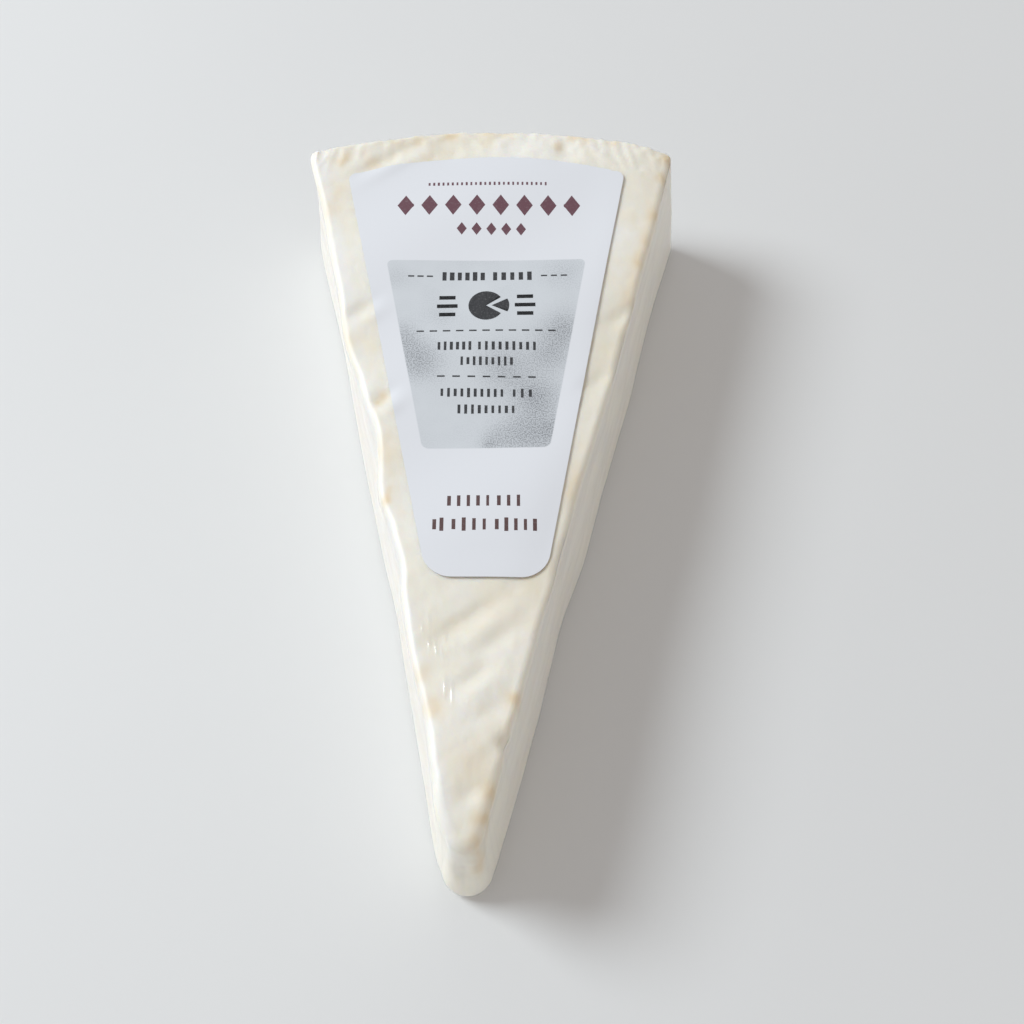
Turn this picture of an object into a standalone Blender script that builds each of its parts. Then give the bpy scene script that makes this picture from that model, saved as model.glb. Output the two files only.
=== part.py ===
"""Wedge of soft-ripened brie, shrink-wrapped in clear film, with a paper label on its top.

Metres, +Z up. The wedge lies on its flat underside, with its point towards -Y and the rind
of the old wheel's edge towards +Y. The origin is on the underside, in the middle of the
footprint. Inside this script a plan point is measured from the corner where the two cut
faces would meet, which lies outside the rounded nose.
"""

import math

import bmesh
import bpy
import numpy as np

# Driving dimensions of the wedge
WHEEL_RADIUS = 0.1645
HALF_ANGLE = math.radians(13.6)
HEIGHT = 0.0331
ORIGIN_IN_PLAN = (-0.0004, 0.0853)

# How far the cut faces stand out from the lines through the corner at the top, and how much
# further at the foot, where the soft paste has slumped
TOP_OUT_RIGHT = 0.0008
TOP_OUT_LEFT = 0.0009
FOOT_LEAN_RIGHT = 0.0014
FOOT_LEAN_LEFT = 0.0016
LEAN_POWER = 1.5
RIND_BULGE = 0.0008

# Roundings: of the nose in plan, and of the rims round the top and the foot
NOSE_RADIUS_TOP = 0.0033
NOSE_RADIUS_FOOT = 0.00495
NOSE_HALF_SPAN = math.radians(45)
NOSE_BLEND = 0.0025
TOP_RIM = 0.0016
TOP_RIM_AT_NOSE = 0.0023
FOOT_RIM = 0.0018
REAR_CORNER = 0.0022

# Cells of the box that is shaped into the wedge, and the rows of them in each rim
CELLS = (22, 60, 10)
RIM_ROWS = 2
CROWDING = 0.6

# Relief of the top: grooves run aslant, each with a low ridge on its nose side
GROOVE_SLANT = math.radians(38)
GROOVE_WIDTH = 0.0016
WAVE_HEIGHT = 0.00025
WAVE_LENGTH = 0.031

# How far the top slopes off towards its right edge
SHOULDER_DROP = 0.0005
SHOULDER_WIDTH = 0.005

# How far the whole nose has sunk, and how far back that reaches
NOSE_DROOP = 0.0040
NOSE_DROOP_LENGTH = 0.0045

# Paper label
LABEL_LENGTH = 0.0954
LABEL_FOOT_HALF_WIDTH = 0.011
LABEL_HALF_ANGLE = math.radians(11.1)
LABEL_TOP_ARC = 0.100
LABEL_TURN = math.radians(2.3)
LABEL_FOOT = (0.0019, 0.0569)
LABEL_FOOT_CORNER = 0.0045
LABEL_TOP_CORNER = 0.0022
LABEL_THICKNESS = 0.00025
LABEL_CLEARANCE = 0.0004
LABEL_COLUMNS = 10
LABEL_ROWS = 22
LABEL_CORNER_ROWS = 5

SIN = math.sin(HALF_ANGLE)
COS = math.cos(HALF_ANGLE)
RIGHT = 1
LEFT = -1


def bump(distance, width):
    """A smooth hump of height 1 at distance 0."""
    return np.exp(-((distance / width) ** 2))


def groove_table():
    """The slanted grooves of the top: place, half length and depth of each."""
    return (
        ((-0.0010, 0.0490), 0.0075, 0.00055),
        ((0.0040, 0.0447), 0.0050, 0.00035),
        ((0.0014, 0.0385), 0.0045, 0.00040),
        ((0.0037, 0.0315), 0.0045, 0.00030),
        ((-0.0262, 0.1160), 0.0040, 0.00050),
        ((-0.0205, 0.0945), 0.0035, 0.00060),
        ((-0.0235, 0.1560), 0.0080, 0.00055),
        ((0.0275, 0.1170), 0.0045, 0.00045),
        ((0.0225, 0.1010), 0.0040, 0.00040),
    )


def hollow_table():
    """Round hollows pressed into the top: place, radius and depth of each."""
    return (
        ((0.0002, 0.0165), 0.0018, 0.00040),
        ((0.0148, 0.1590), 0.0032, 0.00055),
        ((-0.0105, 0.1600), 0.0035, 0.00050),
        ((0.0063, 0.0260), 0.0013, 0.00060),
    )


def top_edge(side):
    """How far the top edge of a cut face wanders outwards at each place along it."""
    if side == RIGHT:
        return (
            (0, 0),
            (0.012, 0.0003),
            (0.024, 0.0002),
            (0.0262, -0.0004),
            (0.0285, 0.0001),
            (0.050, -0.0001),
            (0.075, -0.0003),
            (0.100, 0.0002),
            (0.120, -0.0001),
            (0.140, -0.0003),
            (0.165, -0.0011),
        )
    return (
        (0, 0),
        (0.008, 0.0010),
        (0.014, 0.0013),
        (0.022, 0.0005),
        (0.030, -0.0002),
        (0.045, 0.0003),
        (0.055, 0),
        (0.063, -0.0010),
        (0.070, -0.0006),
        (0.078, 0.0006),
        (0.092, -0.0012),
        (0.104, 0.0003),
        (0.115, 0.0018),
        (0.128, 0.0013),
        (0.140, 0.0014),
        (0.152, 0.0013),
        (0.165, 0.0020),
    )


def foot_edge(side):
    """How far the foot of a cut face wanders outwards at each place along it."""
    if side == RIGHT:
        return (
            (0, 0),
            (0.014, 0.0006),
            (0.040, 0.0007),
            (0.065, -0.0001),
            (0.080, 0.0010),
            (0.100, 0.0008),
            (0.120, 0.0010),
            (0.145, 0.0003),
            (0.165, 0.0008),
        )
    return (
        (0, 0),
        (0.012, 0.0011),
        (0.030, 0.0006),
        (0.048, 0.0003),
        (0.065, -0.0001),
        (0.085, 0.0005),
        (0.105, 0.0009),
        (0.130, 0.0007),
        (0.165, 0.0018),
    )


def rear_edge():
    """How far the rind wanders outwards at each share of the way from left (-1) to right (1)."""
    return (
        (-1, -0.0022),
        (-0.8, -0.0019),
        (-0.6, -0.0015),
        (-0.4, -0.0007),
        (-0.2, -0.0001),
        (0, -0.0003),
        (0.3, 0),
        (0.6, 0),
        (0.85, 0.0002),
        (1, -0.0002),
    )


def between(points, place):
    """Runs smoothly from each point of a table to the next."""
    places, values = np.array(points, float).T
    place = np.clip(place, places[0], places[-1])
    k = np.clip(np.searchsorted(places, place, side="right") - 1, 0, len(places) - 2)
    share = (place - places[k]) / (places[k + 1] - places[k])
    return values[k] + (values[k + 1] - values[k]) * share**2 * (3 - 2 * share)


def wander(side, share, z):
    """How far a cut face wanders outwards at a share of its run and a height."""
    top, foot = top_edge(side), foot_edge(side)
    at_top = between(top, share * top[-1][0]) * (z / HEIGHT) ** 2
    return at_top + between(foot, share * foot[-1][0]) * lean(z)


def lean(z):
    """Share of the foot's lean at a height: 1 on the ground and 0 at the top."""
    return np.clip(1 - z / HEIGHT, 0, 1) ** LEAN_POWER


def wheel_radius(z):
    """The wheel's radius at a height, where its rind bulges a little half way up."""
    return WHEEL_RADIUS + RIND_BULGE * np.sin(np.pi * np.clip(z / HEIGHT, 0, 1))


def face_out(side, z):
    """How far a cut face stands out from the line through the corner at a height."""
    if side == RIGHT:
        return TOP_OUT_RIGHT + FOOT_LEAN_RIGHT * lean(z)
    return TOP_OUT_LEFT + FOOT_LEAN_LEFT * lean(z)


def nose_circle(z):
    """Centre and radius of the nose's rounding at a height."""
    radius = NOSE_RADIUS_TOP + (NOSE_RADIUS_FOOT - NOSE_RADIUS_TOP) * lean(z)
    right, left = face_out(RIGHT, z), face_out(LEFT, z)
    centre_x = (right - left) / (2 * COS)
    centre_y = radius / SIN - (right + left) / (2 * SIN)
    return centre_x, centre_y, radius


def rear_corner(side, z):
    """The rounding of a rear corner: its run along the cut face, its offset and its bearing."""
    offset = face_out(side, z) + wander(side, 1, z) - REAR_CORNER
    radius = wheel_radius(z) + between(rear_edge(), side) - REAR_CORNER
    run = np.sqrt(radius**2 - offset**2)
    return run, offset, HALF_ANGLE + np.arctan2(offset, run)


def cut_face(side, v, z):
    """Plan points of a cut face and their normals, v running from 0 at the nose to 1 at the rind.

    It starts half way round the nose's side and ends half way round the rear corner.
    """
    centre_x, centre_y, radius = nose_circle(z)
    run_end, offset, bearing = rear_corner(side, z)
    start = (centre_x * side + radius * COS) * SIN + (centre_y - radius * SIN) * COS
    face_bearing = math.pi / 2 + HALF_ANGLE
    nose_arc = radius * (math.pi - NOSE_HALF_SPAN - face_bearing)
    rear_arc = REAR_CORNER * (face_bearing - bearing) / 2
    run = v * (nose_arc + run_end - start + rear_arc)
    on_nose = np.minimum(run, nose_arc)
    straight = np.clip(run - nose_arc, 0, run_end - start)
    on_corner = np.maximum(run - nose_arc - (run_end - start), 0)

    turn = math.pi - NOSE_HALF_SPAN - on_nose / radius - on_corner / REAR_CORNER
    normal_x, normal_y = side * np.sin(turn), np.cos(turn)
    corner_x = side * (run_end * SIN + offset * COS)
    corner_y = run_end * COS - offset * SIN
    at_corner = on_corner > 0
    x = np.where(at_corner, corner_x, centre_x + straight * side * SIN)
    y = np.where(at_corner, corner_y, centre_y + straight * COS)
    fade = 1 - np.exp(-straight / NOSE_BLEND)
    share = (start + straight) / run_end
    reach = np.where(at_corner, REAR_CORNER, radius + wander(side, share, z) * fade)
    return x + reach * normal_x, y + reach * normal_y, normal_x, normal_y


def nose(u, z):
    """Plan points round the front of the nose and their normals; u runs from -1 to 1."""
    centre_x, centre_y, radius = nose_circle(z)
    normal_x, normal_y = np.sin(u * NOSE_HALF_SPAN), -np.cos(u * NOSE_HALF_SPAN)
    return centre_x + radius * normal_x, centre_y + radius * normal_y, normal_x, normal_y


def rear(u, z):
    """Plan points of the rind at the rear and their normals; u runs from -1 to 1."""
    wheel = wheel_radius(z)
    side = np.where(u < 0, LEFT, RIGHT)
    bearings = [rear_corner(each, z)[2] for each in (LEFT, RIGHT)]
    bearing = np.where(u < 0, bearings[0], bearings[1])
    half_arc = wheel * (bearings[0] + bearings[1]) / 2
    corner_arc = REAR_CORNER * (math.pi / 2 + HALF_ANGLE - bearing) / 2
    middle = (bearings[1] - bearings[0]) / 2
    run = np.abs(u) * (half_arc + corner_arc)
    on_arc = np.minimum(run, half_arc)
    on_corner = np.maximum(run - half_arc, 0)
    turn = side * (on_arc / wheel + on_corner / REAR_CORNER) + middle
    radius = wheel + between(rear_edge(), side * on_arc / half_arc)
    at_corner = on_corner > 0
    corner_x = (radius - REAR_CORNER) * side * np.sin(bearing)
    corner_y = (radius - REAR_CORNER) * np.cos(bearing)
    normal_x, normal_y = np.sin(turn), np.cos(turn)
    x = np.where(at_corner, corner_x + REAR_CORNER * normal_x, radius * normal_x)
    y = np.where(at_corner, corner_y + REAR_CORNER * normal_y, radius * normal_y)
    return x, y, normal_x, normal_y


def inset(side_points, rim):
    """Side points moved in along their normals by the rim's radius."""
    x, y, normal_x, normal_y = side_points
    return x - rim * normal_x, y - rim * normal_y


def plan(u, v, z, rim):
    """Plan points inside the four sides at a height, blended from the sides."""
    across = (u + 1) / 2
    one = np.ones_like(u)
    left, right = (inset(cut_face(side, v, z), rim) for side in (LEFT, RIGHT))
    front, back = inset(nose(u, z), rim), inset(rear(u, z), rim)
    front_left, front_right = (inset(nose(end * one, z), rim) for end in (-1, 1))
    back_left, back_right = (inset(rear(end * one, z), rim) for end in (-1, 1))
    result = []
    for k in (0, 1):
        sides = (1 - v) * front[k] + v * back[k] + (1 - across) * left[k] + across * right[k]
        nose_ends = (1 - across) * front_left[k] + across * front_right[k]
        rear_ends = (1 - across) * back_left[k] + across * back_right[k]
        result.append(sides - (1 - v) * nose_ends - v * rear_ends)
    return result


def top_relief(x, y):
    """Height of the top's relief over its flat, in plan coordinates from the corner."""
    cos, sin = math.cos(GROOVE_SLANT), math.sin(GROOVE_SLANT)
    height = WAVE_HEIGHT * np.sin((x * sin - y * cos) / WAVE_LENGTH * 2 * np.pi)
    for (centre_x, centre_y), half_length, depth in groove_table():
        run = (x - centre_x) * cos + (y - centre_y) * sin
        aside = (y - centre_y) * cos - (x - centre_x) * sin
        profile = bump(aside, GROOVE_WIDTH) - 0.5 * bump(aside + 2 * GROOVE_WIDTH, GROOVE_WIDTH)
        height = height - depth * profile * bump(run, half_length)
    for (centre_x, centre_y), radius, depth in hollow_table():
        height = height - depth * bump(np.hypot(x - centre_x, y - centre_y), radius)
    from_right = y * math.sin(HALF_ANGLE) - x * math.cos(HALF_ANGLE)
    return height - SHOULDER_DROP * bump(np.maximum(from_right, 0), SHOULDER_WIDTH)


def sunk(y, z):
    """Height of a point after the nose has sunk."""
    nose_y, nose_radius = nose_circle(HEIGHT)[1:]
    from_nose = np.maximum(y - nose_y + nose_radius, 0)
    return z * (1 - NOSE_DROOP / HEIGHT * np.exp(-from_nose / NOSE_DROOP_LENGTH))


def nose_relief(x, y, z):
    """How far the front of the nose swells (or, negative, is pinched) at a height."""
    near = bump(np.hypot(x, y - 0.007), 0.006)
    pinch = -0.0012 * bump(x + 0.0004, 0.0018) * bump(z - 0.4 * HEIGHT, 0.15 * HEIGHT)
    swell = 0.0010 * bump(z - 0.14 * HEIGHT, 0.16 * HEIGHT)
    return near * (pinch + swell)


def face_relief(along, z):
    """Long shallow waves of a cut face, which run level along it."""
    level = z / HEIGHT
    band = -0.00025 * bump(level - 0.72, 0.12) + 0.00015 * bump(level - 0.45, 0.12)
    drift = 1 + 0.5 * np.sin(along / 0.037 * 2 * np.pi)
    return band * drift


def crowded(share, amount):
    """Moves shares of 0 to 1 closer together at both ends."""
    return share + amount * (share**2 * (3 - 2 * share) - share)


def shaped(box):
    """Maps points on a box of half side 1 to the wedge.

    The rows of cells nearest the box's top and bottom edges bend round the wedge's rims.

    Args:
        box: an array of points, one a row, with X across, Y from nose to rind and Z up.

    Returns:
        The wedge's points, in an array of the same size.
    """
    inner = np.array([1 - 2 * RIM_ROWS / n for n in CELLS])
    depth = np.clip((np.abs(box) - inner) / (1 - inner), 0, 1)
    outward = np.maximum(depth[:, 0], depth[:, 1])
    ring = inner[:2] + outward[:, None] * (1 - inner[:2])
    across, forward = (np.clip(box[:, :2] / ring, -1, 1)).T
    u = 2 * crowded((across + 1) / 2, CROWDING) - 1
    v = crowded((forward + 1) / 2, CROWDING)
    up = (np.clip(box[:, 2] / inner[2], -1, 1) + 1) / 2

    top_rim = TOP_RIM + (TOP_RIM_AT_NOSE - TOP_RIM) * bump(v, 0.08)
    rim = FOOT_RIM + (top_rim - FOOT_RIM) * up
    z = FOOT_RIM + (HEIGHT - top_rim - FOOT_RIM) * up
    x, y = plan(u, v, z, rim)

    on_face = np.abs(across) >= np.abs(forward)
    faces = [np.where(across < 0, a, b) for a, b in zip(cut_face(LEFT, v, z), cut_face(RIGHT, v, z))]
    ends = [np.where(forward < 0, a, b) for a, b in zip(nose(u, z), rear(u, z))]
    level = np.tan(math.pi / 4 * outward)
    upright = np.tan(math.pi / 4 * depth[:, 2]) * np.sign(box[:, 2])
    normal = np.stack(
        [
            level * np.where(on_face, faces[2], ends[2]),
            level * np.where(on_face, faces[3], ends[3]),
            upright,
        ],
        axis=1,
    )
    normal /= np.linalg.norm(normal, axis=1, keepdims=True)
    result = np.stack([x, y, z], axis=1) + rim[:, None] * normal

    facing_up = np.clip(normal[:, 2], 0, 1) ** 0.5
    result[:, 2] += facing_up * top_relief(result[:, 0], result[:, 1])
    result[:, 2] = sunk(result[:, 1], result[:, 2])
    along = np.hypot(result[:, 0], result[:, 1])
    fade = np.sin(np.pi * np.clip(v, 0, 1)) ** 0.5
    push = nose_relief(result[:, 0], result[:, 1], result[:, 2])
    push = push + np.where(on_face, face_relief(along, result[:, 2]) * fade, 0)
    push = push * np.where(normal[:, 2] < 0, 0, 1)
    result[:, :2] += normal[:, :2] * push[:, None]
    result[:, :2] -= ORIGIN_IN_PLAN
    return result


def divided_box():
    """A box of half side 1, divided into the wedge's cells."""
    bm = bmesh.new()
    bmesh.ops.create_cube(bm, size=2)
    for axis, cells in enumerate(CELLS):
        edges = []
        for edge in bm.edges:
            ends = edge.verts[0].co - edge.verts[1].co
            if abs(ends[axis]) > 1:
                edges.append(edge)
        bmesh.ops.subdivide_edges(bm, edges=edges, cuts=cells - 1, use_grid_fill=True)
    return bm


def flatten_underside(bm):
    """Joins the level faces of the underside into one, on which the wedge rests."""
    level = [f for f in bm.faces if all(abs(v.co.z) < 1e-9 for v in f.verts)]
    bmesh.ops.dissolve_faces(bm, faces=level, use_verts=True)


def finish_object(name, bm, material, collection):
    """Makes a smooth-shaded object of a mesh, in the collection."""
    mesh = bpy.data.meshes.new(name)
    bm.to_mesh(mesh)
    bm.free()
    mesh.materials.append(material)
    mesh.shade_smooth()
    mesh.set_sharp_from_angle(angle=math.radians(50))
    obj = bpy.data.objects.new(name, mesh)
    collection.objects.link(obj)
    return obj


def principled(name, colour, roughness, coat=0.0):
    """A Principled material of one colour, with a clear coat where film covers it."""
    material = bpy.data.materials.new(name)
    material.use_nodes = True
    shader = material.node_tree.nodes["Principled BSDF"]
    shader.inputs["Base Color"].default_value = (*colour, 1)
    shader.inputs["Roughness"].default_value = roughness
    shader.inputs["Metallic"].default_value = 0
    shader.inputs["Coat Weight"].default_value = coat
    return material


def build_wedge(collection):
    """The cheese in its tight film, as one solid to the film's outside."""
    bm = divided_box()
    points = shaped(np.array([v.co for v in bm.verts]))
    for vert, point in zip(bm.verts, points):
        vert.co = point
    flatten_underside(bm)
    rind = principled("rind_in_film", (0.82, 0.78, 0.68), 0.45, coat=0.6)
    return finish_object("wrapped_wedge", bm, rind, collection)


def label_rows():
    """Distances of the label's rows from its foot, closest together at the round corners."""
    quarter = [math.pi / 2 * i / LABEL_CORNER_ROWS for i in range(LABEL_CORNER_ROWS)]
    foot = [LABEL_FOOT_CORNER * (1 - math.cos(angle)) for angle in quarter]
    top = [LABEL_LENGTH - LABEL_TOP_CORNER * (1 - math.cos(angle)) for angle in reversed(quarter)]
    span = LABEL_LENGTH - LABEL_FOOT_CORNER - LABEL_TOP_CORNER
    middle = [LABEL_FOOT_CORNER + span * i / LABEL_ROWS for i in range(LABEL_ROWS + 1)]
    return np.array(foot + middle + top)


def label_half_width(run):
    """Half the label's width at a distance from its foot, less the round of its corners."""
    width = LABEL_FOOT_HALF_WIDTH + run * math.tan(LABEL_HALF_ANGLE)
    for corner, depth in ((LABEL_FOOT_CORNER, run), (LABEL_TOP_CORNER, LABEL_LENGTH - run)):
        into = max(corner - depth, 0)
        width -= corner - math.sqrt(corner**2 - into**2)
    return width


def build_label(collection):
    """The paper label, which follows the top of the wedge a little clear of it."""
    rows = label_rows()
    bm = bmesh.new()
    bmesh.ops.create_grid(bm, x_segments=LABEL_COLUMNS, y_segments=len(rows) - 1, size=1)
    cos, sin = math.cos(LABEL_TURN), math.sin(LABEL_TURN)
    half_top = label_half_width(LABEL_LENGTH)
    for vert in bm.verts:
        run = rows[round((vert.co.y + 1) / 2 * (len(rows) - 1))]
        x = vert.co.x * label_half_width(run)
        crown = math.sqrt(LABEL_TOP_ARC**2 - x**2) - math.sqrt(LABEL_TOP_ARC**2 - half_top**2)
        y = run + max(crown, 0) * (run / LABEL_LENGTH) ** 3
        plan_x = LABEL_FOOT[0] + x * cos - y * sin
        plan_y = LABEL_FOOT[1] + x * sin + y * cos
        z = HEIGHT + float(top_relief(plan_x, plan_y)) + LABEL_CLEARANCE
        vert.co = (plan_x - ORIGIN_IN_PLAN[0], plan_y - ORIGIN_IN_PLAN[1], z)
    paper = principled("label_paper", (0.72, 0.75, 0.8), 0.4)
    label = finish_object("label", bm, paper, collection)
    sheet = label.modifiers.new("paper_thickness", "SOLIDIFY")
    sheet.thickness = LABEL_THICKNESS
    sheet.offset = 1
    return label


def main():
    """Clears the scene and builds the wedge and its label."""
    for obj in list(bpy.data.objects):
        bpy.data.objects.remove(obj, do_unlink=True)
    collection = bpy.data.collections.new("brie_wedge")
    bpy.context.scene.collection.children.link(collection)
    build_wedge(collection)
    build_label(collection)


main()
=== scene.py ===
"""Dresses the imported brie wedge: the cheese, its clear film and its printed paper label.

Plan points are measured from the corner where the two cut faces would meet, as the part's
own sizes are, and are moved to the part's origin when a mesh is made.
"""

import logging
import math
from dataclasses import dataclass
from enum import Enum
from typing import Any, Optional, Sequence, Union

import bmesh
import bpy
import numpy as np
from mathutils import Matrix, Vector, noise


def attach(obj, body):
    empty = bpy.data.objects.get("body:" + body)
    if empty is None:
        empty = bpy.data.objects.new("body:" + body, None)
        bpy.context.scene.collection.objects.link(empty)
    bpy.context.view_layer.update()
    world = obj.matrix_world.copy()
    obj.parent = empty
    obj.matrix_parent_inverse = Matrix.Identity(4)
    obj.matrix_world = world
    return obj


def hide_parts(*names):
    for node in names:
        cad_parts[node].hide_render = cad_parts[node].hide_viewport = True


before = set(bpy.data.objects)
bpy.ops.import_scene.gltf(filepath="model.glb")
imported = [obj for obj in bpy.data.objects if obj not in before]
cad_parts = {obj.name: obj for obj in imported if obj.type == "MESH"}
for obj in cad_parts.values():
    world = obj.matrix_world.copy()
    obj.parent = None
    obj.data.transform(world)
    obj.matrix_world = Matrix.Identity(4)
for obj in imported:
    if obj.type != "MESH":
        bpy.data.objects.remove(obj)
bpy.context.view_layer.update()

MM = 0.001
LEFT = -1
RIGHT = 1
Number = Union[float, np.ndarray]
log = logging.getLogger("brie_wedge")


def bump(distance: Number, width: Number) -> Number:
    """A smooth hump of height 1 at distance 0."""
    return np.exp(-((distance / width) ** 2))


def smooth_step(value: Number, low: float, high: float) -> Number:
    """0 below low, 1 above high and a smooth rise between."""
    share = np.clip((value - low) / (high - low), 0, 1)
    return share * share * (3 - 2 * share)


def between(points: Sequence[tuple], place: Number) -> Number:
    """Runs smoothly from each point of a table to the next.

    Args:
        points: pairs of a place and the value there, in order of place.
        place: where the value is wanted.

    Returns:
        The value at each place.
    """
    places, values = np.array(points, float).T
    place = np.clip(place, places[0], places[-1])
    k = np.clip(np.searchsorted(places, place, side="right") - 1, 0, len(places) - 2)
    share = (place - places[k]) / (places[k + 1] - places[k])
    return values[k] + (values[k + 1] - values[k]) * share**2 * (3 - 2 * share)


def cloud(points: np.ndarray, size: Sequence[float], seed: float) -> np.ndarray:
    """Smooth noise of about -1 to 1 at each point.

    Args:
        points: an array of points, one a row.
        size: the width of one swell along each axis.
        seed: where in the noise to look.

    Returns:
        One value for each point.
    """
    places = points / np.array(size) + seed
    return np.array([noise.noise(Vector(place)) for place in places]) * 1.6


class Wire:
    """A shader socket that can stand in a Python expression."""

    def __init__(self, tree: "ShaderTree", socket: bpy.types.NodeSocket) -> None:
        """Wraps a socket of the tree."""
        self.tree = tree
        self.socket = socket

    def _math(self, operation: str, first: Any, second: Any = 0.0) -> "Wire":
        """One Math node on two values or wires."""
        made = self.tree.node("ShaderNodeMath", {"operation": operation}, {0: first, 1: second})
        return Wire(self.tree, made.outputs[0])

    def __add__(self, other: Any) -> "Wire":
        """Sum."""
        return self._math("ADD", self, other)

    def __radd__(self, other: Any) -> "Wire":
        """Sum, with the number first."""
        return self._math("ADD", other, self)

    def __sub__(self, other: Any) -> "Wire":
        """Difference."""
        return self._math("SUBTRACT", self, other)

    def __rsub__(self, other: Any) -> "Wire":
        """Difference, with the number first."""
        return self._math("SUBTRACT", other, self)

    def __mul__(self, other: Any) -> "Wire":
        """Product."""
        return self._math("MULTIPLY", self, other)

    def __rmul__(self, other: Any) -> "Wire":
        """Product, with the number first."""
        return self._math("MULTIPLY", other, self)

    def __truediv__(self, other: Any) -> "Wire":
        """Quotient."""
        return self._math("DIVIDE", self, other)

    def __pow__(self, other: Any) -> "Wire":
        """Power."""
        return self._math("POWER", self, other)

    def __abs__(self) -> "Wire":
        """Size without sign."""
        return self._math("ABSOLUTE", self)

    def least(self, other: Any) -> "Wire":
        """The smaller of two values."""
        return self._math("MINIMUM", self, other)

    def most(self, other: Any) -> "Wire":
        """The larger of two values."""
        return self._math("MAXIMUM", self, other)

    def step(self, low: float, high: float) -> "Wire":
        """0 at low, 1 at high and a smooth rise between."""
        settings = {"interpolation_type": "SMOOTHSTEP", "clamp": True}
        made = self.tree.node(
            "ShaderNodeMapRange", settings, {"Value": self, "From Min": low, "From Max": high}
        )
        return Wire(self.tree, made.outputs[0])


class ShaderTree:
    """A material whose nodes are added one at a time."""

    def __init__(self, name: str) -> None:
        """Starts an empty material.

        Args:
            name: the material's name.
        """
        self.material = bpy.data.materials.new(name)
        self.material.use_nodes = True
        self.nodes = self.material.node_tree.nodes
        self.nodes.clear()

    def node(
        self, kind: str, settings: Optional[dict] = None, sockets: Optional[dict] = None
    ) -> bpy.types.Node:
        """Adds a node.

        Args:
            kind: the node's type.
            settings: its properties.
            sockets: a value, a wire or an output for each input, by name or number.

        Returns:
            The node.
        """
        made = self.nodes.new(kind)
        for key, value in (settings or {}).items():
            setattr(made, key, value)
        for key, value in (sockets or {}).items():
            source = value.socket if isinstance(value, Wire) else value
            if isinstance(source, bpy.types.NodeSocket):
                self.material.node_tree.links.new(source, made.inputs[key])
            else:
                made.inputs[key].default_value = source
        return made

    def wire(self, kind: str, settings: dict, sockets: dict, output: Any = 0) -> Wire:
        """Adds a node and wraps one of its outputs."""
        return Wire(self, self.node(kind, settings, sockets).outputs[output])

    def place(self) -> bpy.types.NodeSocket:
        """Object coordinates."""
        return self.node("ShaderNodeTexCoord").outputs["Object"]

    def attribute(self, name: str) -> Wire:
        """One value that the mesh carries at its points."""
        return self.wire("ShaderNodeAttribute", {"attribute_name": name}, {}, "Fac")

    def grain(
        self, place: Any, per_metre: float, detail: float = 2.0, stretch: Sequence[float] = (1, 1, 1)
    ) -> Wire:
        """Smooth noise of 0 to 1.

        Args:
            place: the coordinates that it reads.
            per_metre: how many swells fit in a metre.
            detail: how many finer layers it has.
            stretch: how much tighter it is along each axis.

        Returns:
            The noise's value.
        """
        scaled = self.node(
            "ShaderNodeMapping", {}, {"Vector": place, "Scale": tuple(per_metre * s for s in stretch)}
        )
        return self.wire(
            "ShaderNodeTexNoise", {}, {"Vector": scaled.outputs[0], "Scale": 1.0, "Detail": detail}
        )

    def blend(self, share: Any, first: Any, second: Any, way: str = "MIX") -> Any:
        """Mixes two colours.

        Args:
            share: how much of the second colour shows.
            first: a colour or an output.
            second: a colour or an output.
            way: the blend's name.

        Returns:
            The mixed colour's output.
        """
        settings = {"data_type": "RGBA", "blend_type": way, "clamp_factor": True}
        colours = [(*c, 1) if isinstance(c, tuple) and len(c) == 3 else c for c in (first, second)]
        made = self.node("ShaderNodeMix", settings, {0: share, 6: colours[0], 7: colours[1]})
        return made.outputs[2]

    def bump_normal(self, height: Wire, depth: float, strength: float = 1.0) -> Any:
        """A normal from a height in the material."""
        made = self.node(
            "ShaderNodeBump", {}, {"Strength": strength, "Distance": depth, "Height": height}
        )
        return made.outputs[0]

    def finish(self, shader: bpy.types.NodeSocket) -> bpy.types.Material:
        """Joins the shader to the material's output."""
        self.node("ShaderNodeOutputMaterial", {}, {"Surface": shader})
        return self.material


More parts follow.
